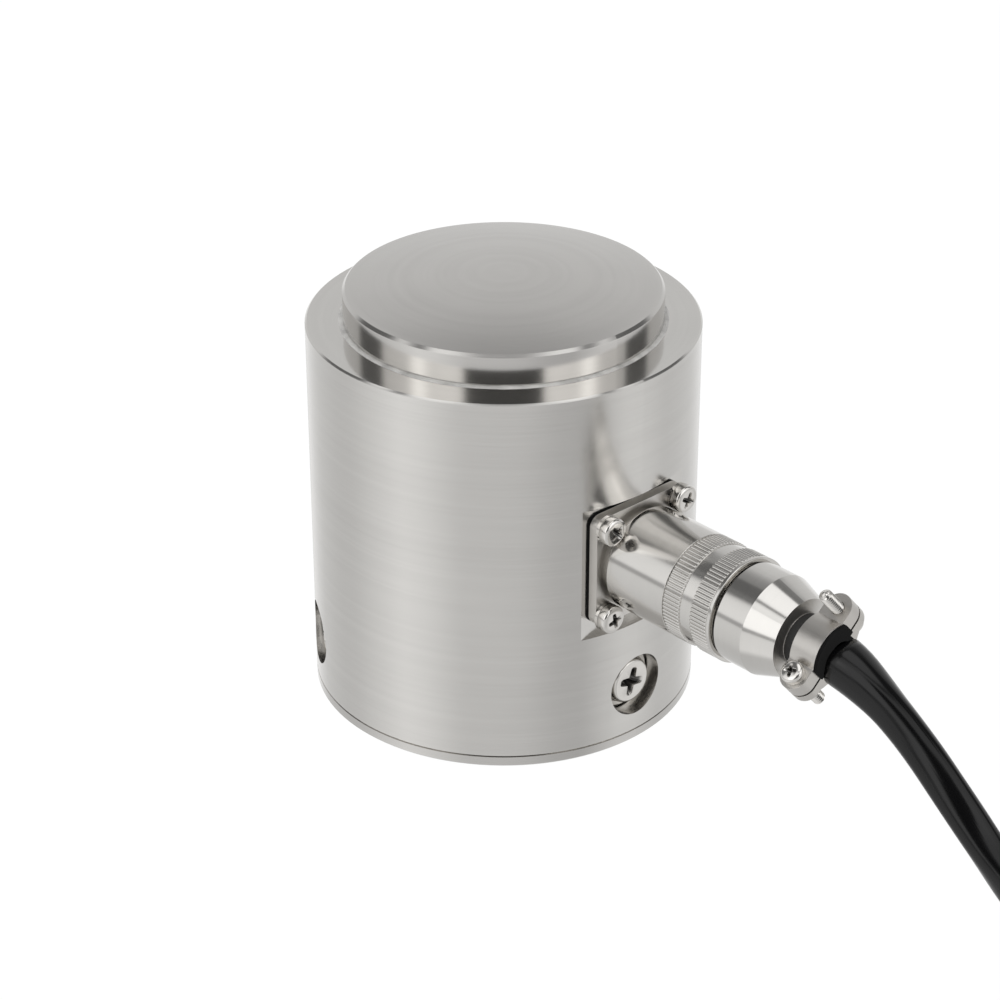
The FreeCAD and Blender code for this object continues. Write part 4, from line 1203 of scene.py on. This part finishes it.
def eased_copy(
    node: str,
    name: str,
    width: float,
    material: bpy.types.Material,
    shape: Callable[[Vector], Vector] | None = None,
) -> bpy.types.Object:
    """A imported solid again, with its triangles joined into flat faces and its edges eased.

    Args:
        node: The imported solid.
        name: The new piece's name.
        width: How far each edge is eased.
        material: Its finish.
        shape: Where each corner is moved to, if the piece is changed.

    Returns:
        The new object.
    """
    source = frame["nodes"][node]
    build = bmesh.new()
    build.from_mesh(source.data)
    build.transform(source.matrix_world)
    bmesh.ops.remove_doubles(build, verts=build.verts, dist=WELD)
    bmesh.ops.dissolve_limit(
        build, angle_limit=math.radians(0.6), verts=build.verts, edges=build.edges, delimit=set()
    )
    if shape is not None:
        for vertex in build.verts:
            vertex.co = shape(vertex.co)
        bmesh.ops.connect_verts_nonplanar(build, faces=build.faces, angle_limit=math.radians(0.5))
    number_loose_pieces(build)
    carrier = link(name + "_eased", mesh_from(name, build, crease=30.0))
    ease_edges(carrier, width, 32.0)
    even = carrier.modifiers.new("even", "WEIGHTED_NORMAL")
    even.mode = "FACE_AREA"
    even.keep_sharp = False
    return link(name, realized(carrier, name), material)


@dataclass(frozen=True)
class Fasteners:
    """The screws and spring washers that show: on the flange, round the base and in the clamp."""

    flange_pitch: float = 18.8 * MM
    flange_seat: float = 39.0 * MM
    washer_seat: float = 38.2 * MM
    base_height: float = 12.4 * MM
    base_seat: float = 33.1 * MM
    clamp_pitch: float = 14.2 * MM
    clamp_middle: float = 84.85 * MM
    clamp_near: float = 4.35 * MM
    clamp_far: float = 1.15 * MM
    clamp_length: float = 11.4 * MM

    def build(self, materials: Mapping[str, bpy.types.Material]) -> None:
        """Make every set of screws and washers."""
        flange_head = PanHead(5.5 * MM, 2.2 * MM, 3.5 * MM, 1.5 * MM)
        flange_thread = Thread(1.5 * MM, 1.22 * MM, 0.5 * MM, 8.0 * MM, segments=24, steps=4)
        flange_screw = self.screw("flange_screw", flange_head, flange_thread)
        flange_places = self.corners(self.flange_seat, (38, 12, 64, 25))
        ring = split_ring_mesh("split_washer", 1.6 * MM, 2.7 * MM, 0.8 * MM, 0.7 * MM, 0.12 * MM)
        washer = link("split_washer", ring)
        washer_places = self.corners(self.washer_seat, (200, 250, 150, 300))
        base_head = PanHead(10.3 * MM, 3.5 * MM, 6.2 * MM, 2.6 * MM, dome=0.66, flat=0.86, washer=12.3 * MM)
        base_thread = Thread(2.5 * MM, 2.1 * MM, 0.8 * MM, 10.0 * MM, segments=32, steps=5)
        base_screw = self.screw("base_screw", base_head, base_thread)
        clamp_head = PanHead(4.3 * MM, 1.9 * MM, 2.7 * MM, 1.2 * MM)
        clamp_thread = Thread(1.25 * MM, 0.98 * MM, 0.6 * MM, self.clamp_length, 0.7 * MM, segments=32)
        clamp_screw = self.screw("clamp_screw", clamp_head, clamp_thread)
        sets = (
            ("flange_screw_set", flange_screw, flange_places, Body.CELL, "flange_screws"),
            ("split_washers", washer, washer_places, Body.CELL, "spring_washers"),
            ("base_screw_set", base_screw, self.base_places(), Body.CELL, "shell_screws"),
            ("clamp_screw_set", clamp_screw, self.clamp_places(), Body.PLUG, "clamp_screws"),
        )
        for name, part, poses, body, node in sets:
            piece = self.scattered(name, part, poses, materials["screw_steel"])
            hand_over(piece, body, [node])

    def screw(self, name: str, head: PanHead, thread: Thread) -> bpy.types.Object:
        """A screw with its head above the origin and its thread below."""
        shank = thread.mesh(name + "_thread")
        shank.transform(Matrix.Rotation(math.pi, 4, "X"))
        return link(name, joined_mesh(name, [head.mesh(name + "_top"), shank], crease=42.0))

    def scattered(
        self, name: str, part: bpy.types.Object, poses: Sequence[Pose], material: bpy.types.Material
    ) -> bpy.types.Object:
        """Repeat a part at some poses, as one piece.

        Args:
            name: The piece's name.
            part: What is repeated, drawn along +Z on the origin.
            poses: Where each goes.
            material: The finish.

        Returns:
            The new object.
        """
        pattern = Pattern(name)
        drawn = pattern.from_object("Part", part)
        joined = pattern.node("GeometryNodeJoinGeometry")
        target = joined.node.inputs[0]
        for index, pose in enumerate(poses):
            place = pattern.given(f"Place {index}", tuple(pose.place), "Vector")
            turned = pattern.given(f"Turn {index}", tuple(pose.matrix().to_euler()), "Vector")
            sockets = {"Geometry": drawn, "Translation": place, "Rotation": turned}
            placed = pattern.node("GeometryNodeTransform", sockets=sockets)
            pattern.tree.links.new(placed.socket, target)
        piece = pattern.piece(name, joined, material)
        bpy.data.objects.remove(part)
        return piece

    def corners(self, along: float, spins: Sequence[float]) -> list[Pose]:
        """The flange's four screw places."""
        half = self.flange_pitch / 2
        signs = ((-1, 1), (-1, -1), (1, 1), (1, -1))
        places = [Vector((along, y * half, CONNECTOR_HEIGHT + z * half)) for y, z in signs]
        return [Pose(place, Vector((1, 0, 0)), math.radians(spin)) for place, spin in zip(places, spins)]

    def base_places(self) -> list[Pose]:
        """The three places in the shell's counterbores, pointing out from the loading axis."""
        poses = []
        for index, spin in enumerate((-14.0, 52.0, 81.0)):
            angle = math.tau * index / 3
            out = Vector((math.cos(angle), math.sin(angle), 0.0))
            seat = out * self.base_seat + Vector((0, 0, self.base_height))
            poses.append(Pose(seat, out, math.radians(spin)))
        return poses

    def clamp_places(self) -> list[Pose]:
        """The two places in the clamp, whose screws are put in from opposite sides."""
        middle = Vector((self.clamp_middle, 0.0, CONNECTOR_HEIGHT))
        aside = CLAMP_ACROSS * (self.clamp_pitch / 2)
        near = middle - aside + CLAMP_UPWARD * self.clamp_near
        far = middle + aside - CLAMP_UPWARD * self.clamp_far
        return [Pose(near, CLAMP_UPWARD, math.radians(20.0)), Pose(far, -CLAMP_UPWARD, math.radians(65.0))]


@dataclass(frozen=True)
class CouplingNut:
    """The coupling nut: a turned sleeve with two straight-knurled bands and a groove between them."""

    front: float = 39.4 * MM
    length: float = 26.4 * MM
    radius: float = 10.4 * MM
    knurl_start: float = 14.6 * MM
    knurl_length: float = 4.2 * MM
    groove: float = 2.7 * MM
    groove_depth: float = 0.35 * MM
    ridge_height: float = 0.25 * MM
    ridge_radius: float = 0.31 * MM
    ridges: int = 80
    front_bore: float = 9.1 * MM
    lip_bore: float = 8.2 * MM
    rear_bore: float = 9.3 * MM
    lip_start: float = 50.6 * MM
    lip_end: float = 53.4 * MM

    def outline(self) -> list[tuple[float, float]]:
        """The sleeve's section, with its rims rounded."""
        first = self.front + self.knurl_start
        second = first + self.knurl_length + self.groove
        end = self.front + self.length
        low = self.radius - self.ridge_height
        deep = self.radius - self.groove_depth
        tiny, rim, end_rim = 0.08 * MM, 0.22 * MM, 0.15 * MM
        corners = [
            Corner(self.front, self.front_bore, tiny),
            Corner(self.front, self.radius, rim),
            Corner(first, self.radius, tiny),
            Corner(first, low),
            Corner(first + self.knurl_length, low),
            Corner(first + self.knurl_length, deep, 0.04 * MM),
            Corner(second, deep, 0.04 * MM),
            Corner(second, low),
            Corner(second + self.knurl_length, low),
            Corner(second + self.knurl_length, self.radius, tiny),
            Corner(end, self.radius, end_rim),
            Corner(end, self.rear_bore, tiny),
            Corner(self.lip_end, self.rear_bore),
            Corner(self.lip_end, self.lip_bore, tiny),
            Corner(self.lip_start, self.lip_bore, tiny),
            Corner(self.lip_start, self.front_bore),
        ]
        return rounded_outline(corners, 4)

    def ridge(self) -> bpy.types.Object:
        """One ridge: a small round bar with rounded ends, lying along +X."""
        half, r = self.knurl_length / 2, self.ridge_radius
        corners = [Corner(-half, 0.0), Corner(-half, r, r * 0.8), Corner(half, r, r * 0.8), Corner(half, 0.0)]
        mesh = turned_mesh("ridge", rounded_outline(corners, 3), Axis.CONNECTOR, 0.0, 12)
        return link("ridge", mesh)

    def build(self, materials: Mapping[str, bpy.types.Material]) -> None:
        """The sleeve and its ridges as one piece."""
        sleeve = link("sleeve", turned_mesh("sleeve", self.outline(), Axis.CONNECTOR, CONNECTOR_HEIGHT, 256))
        ridge = self.ridge()
        pattern = Pattern("knurled_nut")
        shape = pattern.from_object("Sleeve", sleeve)
        bar = pattern.from_object("Ridge", ridge)
        count = pattern.given("Ridges", self.ridges, "Int")
        reach = pattern.given("Ridge circle", self.radius - self.ridge_radius)
        height = pattern.given("Axis height", CONNECTOR_HEIGHT)
        joined = pattern.node("GeometryNodeJoinGeometry")
        target = joined.node.inputs[0]
        pattern.tree.links.new(shape.socket, target)
        ring = pattern.node("GeometryNodeMeshCircle", sockets={"Vertices": count, "Radius": reach})
        quarter = math.pi / 2
        sockets = {"Geometry": bar, "Rotation": (0.0, -quarter, 0.0)}
        stood = pattern.node("GeometryNodeTransform", sockets=sockets)
        bars = pattern.node("GeometryNodeInstanceOnPoints", sockets={"Points": ring, "Instance": stood})
        for band in (0, 1):
            start = self.front + self.knurl_start + band * (self.knurl_length + self.groove)
            middle = pattern.given(f"Band {band + 1}", start + self.knurl_length / 2)
            place = pattern.join(middle, 0.0, height)
            sockets = {"Geometry": bars, "Translation": place, "Rotation": (0.0, quarter, 0.0)}
            laid = pattern.node("GeometryNodeTransform", sockets=sockets)
            pattern.tree.links.new(laid.socket, target)
        nut = pattern.piece("coupling_nut_knurled", joined, materials["plated_nut"])
        bpy.data.objects.remove(sleeve)
        bpy.data.objects.remove(ridge)
        hand_over(nut, Body.NUT, ["coupling_nut"])


@dataclass(frozen=True)
class SealantBead:
    """The elastic bead between button and shell, smoothed by hand and a little uneven."""

    inner: float = 30.75 * MM
    outer: float = 31.5 * MM
    low: float = 75.4 * MM
    shell_top: float = 78.0 * MM
    lip: float = 0.16 * MM
    least_lip: float = 0.05 * MM
    most_lip: float = 0.44 * MM
    rise: float = 0.40 * MM
    segments: int = 360
    steps: int = 6

    def lip_at(self, spot: Vector) -> float:
        """How far the bead reaches over the shell in a direction, in long waves and short ones."""
        lip = self.lip * (0.55 + 0.45 * noise.noise(spot * 5.0) + 0.35 * noise.noise(spot * 21.0))
        return min(self.most_lip, max(self.least_lip, lip))

    def rise_at(self, spot: Vector) -> float:
        """How high the bead stands in a direction, in long waves and short ones."""
        rise = self.rise * (0.62 + 0.25 * noise.noise(spot * 7.0 + Vector((9, 0, 0))))
        return min(self.rise, rise + 0.12 * self.rise * noise.noise(spot * 40.0))

    def build(self, materials: Mapping[str, bpy.types.Material]) -> None:
        """A closed ring whose lip wanders."""
        build = bmesh.new()
        rings = []
        for i in range(self.segments):
            angle = math.tau * i / self.segments
            spot = Vector((math.cos(angle), math.sin(angle), 0.0))
            lip, rise = self.lip_at(spot), self.rise_at(spot)
            section = [(self.low, self.inner), (self.low, self.outer), (self.shell_top, self.outer)]
            for step in range(self.steps + 1):
                turn = math.pi / 2 * step / self.steps
                far = self.inner + (self.outer + lip - self.inner) * math.cos(turn)
                high = self.shell_top + 0.01 * MM + rise * math.sin(turn) ** 1.3
                section.append((high, max(self.inner, far)))
            rings.append([build.verts.new(on_axis(Axis.LOADING, z, r, angle)) for z, r in section])
        bridge(build, [*rings, rings[0]])
        bead = link("sealant_bead", mesh_from("sealant_bead", build), materials["seal"])
        hand_over(bead, Body.CELL, ["top_seal"])


@dataclass(frozen=True)
class EasedSolids:
    """Cast and milled pieces whose edges are eased and catch the light."""

    pieces: tuple[tuple[str, str, Body, str, float], ...] = (
        ("receptacle_shell", "flanged_receptacle", Body.CELL, "plated_shell", 0.22 * MM),
        ("clamp_half_near", "near_clamp_half", Body.PLUG, "clamp_metal", 0.30 * MM),
        ("clamp_half_far", "far_clamp_half", Body.PLUG, "clamp_metal", 0.30 * MM),
        ("cable_bush", "rubber_bush", Body.PLUG, "black_rubber", 0.12 * MM),
        ("core_ends", "coloured_cores", Body.PLUG, "core_plastic", 0.04 * MM),
        ("plug_wires", "coloured_plug_wires", Body.PLUG, "core_plastic", 0.04 * MM),
        ("signal_wires", "coloured_signal_wires", Body.CELL, "core_plastic", 0.04 * MM),
    )
    arch_start: float = 82.0 * MM
    arch_length: float = 5.7 * MM
    arch_radius: float = 6.1 * MM
    arch_taper: float = 0.85 * MM
    arch_below: float = 1.2 * MM

    def build(self, materials: Mapping[str, bpy.types.Material]) -> None:
        """Make each eased copy."""
        for node, name, body, slot, width in self.pieces:
            shape = self.slim_arch if name == "far_clamp_half" else None
            hand_over(eased_copy(node, name, width, materials[slot], shape), body, [node])

    def slim_arch(self, place: Vector) -> Vector:
        """The far half's arch drawn in towards the cable, most at its open end.

        Args:
            place: A point of the far half.

        Returns:
            Where it moves to. Points near the clamp's joint or inside the arch stay.
        """
        middle = Vector((place.x, 0.0, CONNECTOR_HEIGHT))
        side, up = (place - middle).dot(CLAMP_ACROSS), (place - middle).dot(CLAMP_UPWARD)
        share = min(1.0, max(0.0, (place.x - self.arch_start) / self.arch_length))
        most = self.arch_radius - self.arch_taper * share
        reach = math.hypot(side, up)
        if up > -self.arch_below or reach <= most:
            return place
        pull = min(1.0, (-self.arch_below - up) / self.arch_below)
        scale = 1.0 + (most / reach - 1.0) * pull
        return middle + CLAMP_ACROSS * side * scale + CLAMP_UPWARD * up * scale


def build_materials() -> dict[str, bpy.types.Material]:
    """Every finish, by the slot it belongs to."""
    finishes: list[Finish] = [
        TurnedSteel(
            "cell_steel",
            (0.605, 0.592, 0.572, 1.0),
            0.15,
            ring_depth=0.0002 * MM,
            face_start=84.5 * MM,
            face_roughness=0.22,
        ),
        TurnedSteel(
            "shell_steel",
            (0.655, 0.642, 0.62, 1.0),
            0.20,
            ring_depth=0.0003 * MM,
            cloud=0.035,
            face_start=77.8 * MM,
            face_roughness=0.12,
        ),
        # screw_steel paints shade into its recesses.
        PlatedMetal("screw_steel", (0.72, 0.70, 0.67, 1.0), 0.14, ripple=0.004 * MM, paint_recess_shade=True),
        Sealant("seal", (0.66, 0.65, 0.63, 1.0), 0.3),
        Moulded("black_rubber", (0.003, 0.003, 0.003, 1.0), 0.75, specular=0.15),
        GaugeFoil("gauge_foil", (0.42, 0.20, 0.05, 1.0), 0.3),
        Moulded("lead_lacquer", (0.18, 0.02, 0.01, 1.0), 0.35),
        Moulded("board", (0.01, 0.09, 0.03, 1.0), 0.35),
        Moulded("chip", (0.02, 0.02, 0.02, 1.0), 0.4),
        PlatedMetal("spacer_brass", (0.75, 0.55, 0.25, 1.0), 0.25),
        PlatedMetal("plated_shell", (0.66, 0.64, 0.61, 1.0), 0.34, ripple=0.01 * MM),
        PlatedMetal(
            "plated_nut",
            (0.665, 0.65, 0.625, 1.0),
            0.13,
            pits=0.25,
            # painted shade on the back shell's neck, from shade_start inwards of shade_radius
            shade_start=79.22 * MM,
            shade_radius=5.6 * MM,
        ),
        PlatedMetal("clamp_metal", (0.60, 0.58, 0.55, 1.0), 0.34, ripple=0.05 * MM, ripple_scale=260.0),
        Moulded("insulator", (0.015, 0.015, 0.015, 1.0), 0.5),
        PlatedMetal("contact_gold", (0.85, 0.62, 0.25, 1.0), 0.2),
        CoreInsulation("core_plastic", (0.4, 0.02, 0.015, 1.0), 0.4),
        PlatedMetal("tinned_wire", (0.72, 0.71, 0.69, 1.0), 0.28),
        CableJacket("cable_jacket", (0.0015, 0.0015, 0.0018, 1.0), 0.18),
        Moulded("tie_plastic", (0.02, 0.02, 0.02, 1.0), 0.42),
    ]
    return {finish.name: finish.build() for finish in finishes}


@dataclass(frozen=True)
class CableRun:
    """The signal cable, from the clamp down to the table and round its coil."""

    diameter: float = 6.5 * MM
    length: float = 3.0
    exit: tuple[float, float, float] = (88.3 * MM, 0.0, CONNECTOR_HEIGHT)
    points: tuple[tuple[float, float, float], ...] = (
        (0.0780, 0.0, 0.0413),
        (0.0885, 0.0, 0.0413),
        (0.0984, 0.0, 0.0378),
        (0.1076, 0.0, 0.0322),
        (0.1166, 0.0, 0.0246),
        (0.1265, 0.0003, 0.0156),
        (0.1384, 0.0013, 0.0070),
        (0.1520, 0.0031, 0.00325),
        (0.1660, 0.0040, 0.00325),
    )
    columns: int = 3
    rows: int = 4
    mean_radius: float = 39.0 * MM
    last_turn: float = 285.0
    points_per_turn: int = 24
    change_start: float = 222.0
    change_end: float = 262.0
    lobes: int = 3
    lobe_depth: float = 0.22 * MM
    lobe_pitch: float = 130.0 * MM
    squeeze_start: float = 9.9 * MM
    squeeze_length: float = 15.0 * MM
    squeeze_bulge: float = 0.90 * MM
    squeeze_turn: float = math.radians(-83.0)
    full_bulge: float = 0.12 * MM
    lift_height: float = 1.35 * MM
    sleeve: float = 0.45 * MM
    lift_length: float = 22.0 * MM
    full_fade: tuple[float, float] = (40.0 * MM, 70.0 * MM)
    hold_window: tuple[float, float] = (-0.2 * MM, 0.6 * MM)
    squeeze_window: tuple[float, float] = (-0.3 * MM, 0.5 * MM)
    wander_pitch: float = 61.0 * MM
    wander_turn: float = 0.6
    step: float = 1.6 * MM
    sides: int = 28
    table: float = 0.01 * MM

    def centre(self) -> Vector:
        """The middle of the coil on the table."""
        last = self.points[-1]
        return Vector((last[0], last[1] + self.turn_radius(self.columns - 1), 0.0))

    def turn_radius(self, column: int) -> float:
        """The radius of a column of turns, the innermost being 0."""
        return self.mean_radius + (column - (self.columns - 1) / 2) * self.diameter

    def turn_place(self, turn: int) -> tuple[float, float]:
        """The radius and height of one turn, wound from the outside in and back."""
        row, step = divmod(turn, self.columns)
        column = self.columns - 1 - step if row % 2 == 0 else step
        return self.turn_radius(column), (row + 0.5) * self.diameter

    def coil_points(self) -> list[Vector]:
        """The coil's points, each turn changing to the next over the same short arc."""
        centre = self.centre()
        last = self.columns * self.rows - 1
        found: list[Vector] = []
        for turn in range(last + 1):
            radius, height = self.turn_place(turn)
            next_radius, next_height = self.turn_place(min(turn + 1, last))
            span = self.last_turn if turn == last else 360.0
            count = round(self.points_per_turn * span / 360.0)
            for step in range(1 if turn == 0 else 0, count):
                angle = -90.0 + span * step / count
                share = (angle - self.change_start) / (self.change_end - self.change_start)
                share = min(1.0, max(0.0, share))
                share = share * share * (3.0 - 2.0 * share)
                far = radius + (next_radius - radius) * share
                up = height + (next_height - height) * share
                around = math.radians(angle)
                found.append(centre + Vector((far * math.cos(around), far * math.sin(around), up)))
        end = math.radians(-90.0 + self.last_turn)
        radius, height = self.turn_place(last)
        found.append(centre + Vector((radius * math.cos(end), radius * math.sin(end), height)))
        return found

    def spline_object(self) -> bpy.types.Object:
        """The cable's line as one smooth open spline."""
        curve = bpy.data.curves.new("cable_line", "CURVE")
        curve.dimensions = "3D"
        curve.resolution_u = 6
        spline = curve.splines.new("NURBS")
        places = [Vector(p) for p in self.points] + self.coil_points()
        spline.points.add(len(places) - 1)
        for point, place in zip(spline.points, places):
            point.co = (*place, 1.0)
        spline.order_u = 3
        spline.use_endpoint_u = True
        return link("cable_line", curve)

    def build(self, materials: Mapping[str, bpy.types.Material]) -> None:
        """The jacket: a round tube on the line, with slow twists where the cores show through."""
        line = self.spline_object()
        graph = bpy.context.evaluated_depsgraph_get()
        thread = bpy.data.meshes.new_from_object(line.evaluated_get(graph), depsgraph=graph)
        pattern = Pattern("cable_tube")
        route = pattern.from_object("Line", line)
        step = pattern.given("Step", self.step)
        radius = pattern.given("Radius", self.diameter / 2)
        sides = pattern.given("Sides", self.sides, "Int")
        lobes = pattern.given("Lobes", float(self.lobes))
        depth = pattern.given("Lobe depth", self.lobe_depth)
        pitch = pattern.given("Lobe pitch", self.lobe_pitch)
        even = pattern.node("GeometryNodeResampleCurve", {"mode": "LENGTH"}, {"Curve": route, "Length": step})
        run = pattern.node("GeometryNodeSplineParameter").output("Length")
        even = self.named(pattern, even, "along", run)
        sockets = {"Resolution": sides, "Radius": radius}
        ring = pattern.node("GeometryNodeCurvePrimitiveCircle", sockets=sockets)
        share = pattern.node("GeometryNodeSplineParameter").output("Factor")
        ring = self.named(pattern, ring.output("Curve"), "around", share)
        sockets = {"Curve": even, "Profile Curve": ring, "Fill Caps": True}
        tube = pattern.node("GeometryNodeCurveToMesh", sockets=sockets)
        along = pattern.node("GeometryNodeInputNamedAttribute", sockets={"Name": "along"})
        around = pattern.node("GeometryNodeInputNamedAttribute", sockets={"Name": "around"})
        turn = (around * lobes + along / pitch * lobes) * math.tau
        wander = (along * (math.tau / self.wander_pitch)).maths("SINE") * self.wander_turn
        swell = (turn + wander).maths("COSINE") * depth
        swell = swell + self.squeeze(pattern, along, around) + self.fade(pattern, along) * self.sleeve
        sockets = {"Vector": pattern.node("GeometryNodeInputNormal"), "Scale": swell}
        offset = pattern.node("ShaderNodeVectorMath", {"operation": "SCALE"}, sockets)
        shaped = pattern.node("GeometryNodeSetPosition", sockets={"Geometry": tube, "Offset": offset})
        sockets = {"Geometry": shaped, "Offset": self.lift(pattern, along)}
        risen = pattern.node("GeometryNodeSetPosition", sockets=sockets)
        lain = self.on_table(pattern, risen)
        smooth = pattern.node("GeometryNodeSetShadeSmooth", sockets={"Geometry": lain})
        cable = pattern.piece("signal_cable", smooth, materials["cable_jacket"])
        bpy.data.objects.remove(line)
        for name in ("signal_cable", "cable_ties", "coloured_cores", "core_tips"):
            bpy.data.objects[name].visible_glossy = False
        hand_over(cable, Body.PLUG, ["cable", "cable_coil"])

    def fade(self, pattern: Pattern, along: Signal) -> Signal:
        """The clamp's hold on the jacket, from 1 at the clamp to 0 a little behind it."""
        past = along - pattern.given("Hold start", self.squeeze_start)
        share = past / pattern.given("Hold length", self.lift_length)
        return past.smooth(*self.hold_window) * (1.0 - share.smooth(0.0, 1.0))

    def lift(self, pattern: Pattern, along: Signal) -> Signal:
        """How far the clamp holds the jacket off the middle of its bore, which fades soon behind it."""
        most = self.fade(pattern, along) * self.lift_height
        return pattern.join(0.0, most * CLAMP_UPWARD.y, most * CLAMP_UPWARD.z)

    def on_table(self, pattern: Pattern, shape: Signal) -> Signal:
        """The jacket flattened where it would go below the table."""
        x, y, z = pattern.parts(pattern.node("GeometryNodeInputPosition"))
        held = pattern.join(x, y, z.maths("MAXIMUM", pattern.given("Table", self.table)))
        return pattern.node("GeometryNodeSetPosition", sockets={"Geometry": shape, "Position": held})

    def squeeze(self, pattern: Pattern, along: Signal, around: Signal) -> Signal:
        """How far the clamp flattens the jacket sideways, which fades soon behind it."""
        past = along - pattern.given("Squeeze start", self.squeeze_start)
        share = past / pattern.given("Squeeze length", self.squeeze_length)
        turn = pattern.given("Squeeze angle", self.squeeze_turn)
        inside = past.smooth(*self.squeeze_window)
        fade = inside * (1.0 - share.smooth(0.0, 1.0))
        full = pattern.given("Full bulge", self.full_bulge) * (1.0 - past.smooth(*self.full_fade))
        wide = (around * (2.0 * math.tau) + turn).maths("COSINE") * 0.5 + 0.5
        return fade * wide * self.squeeze_bulge + full * inside

    @staticmethod
    def named(pattern: Pattern, curve: Signal, name: str, value: Signal) -> Signal:
        """Keep a number on each point of a curve under a name."""
        return pattern.node(
            "GeometryNodeStoreNamedAttribute",
            {"data_type": "FLOAT", "domain": "POINT"},
            {"Geometry": curve, "Name": name, "Value": value},
        )


def main() -> None:
    """Build the studio and every piece."""
    logging.basicConfig(level=logging.INFO, format="%(message)s")
    bpy.context.scene.view_settings.view_transform = "Standard"
    Camera().build()
    Studio().build()
    materials = build_materials()
    for entry in frame["record"]["subparts"]:
        dress(entry["node"], materials[entry["material_slot"]])
    EasedSolids().build(materials)
    CableRun().build(materials)
    CouplingNut().build(materials)
    Fasteners().build(materials)
    SealantBead().build(materials)


if __name__ == "__main__":
    main()
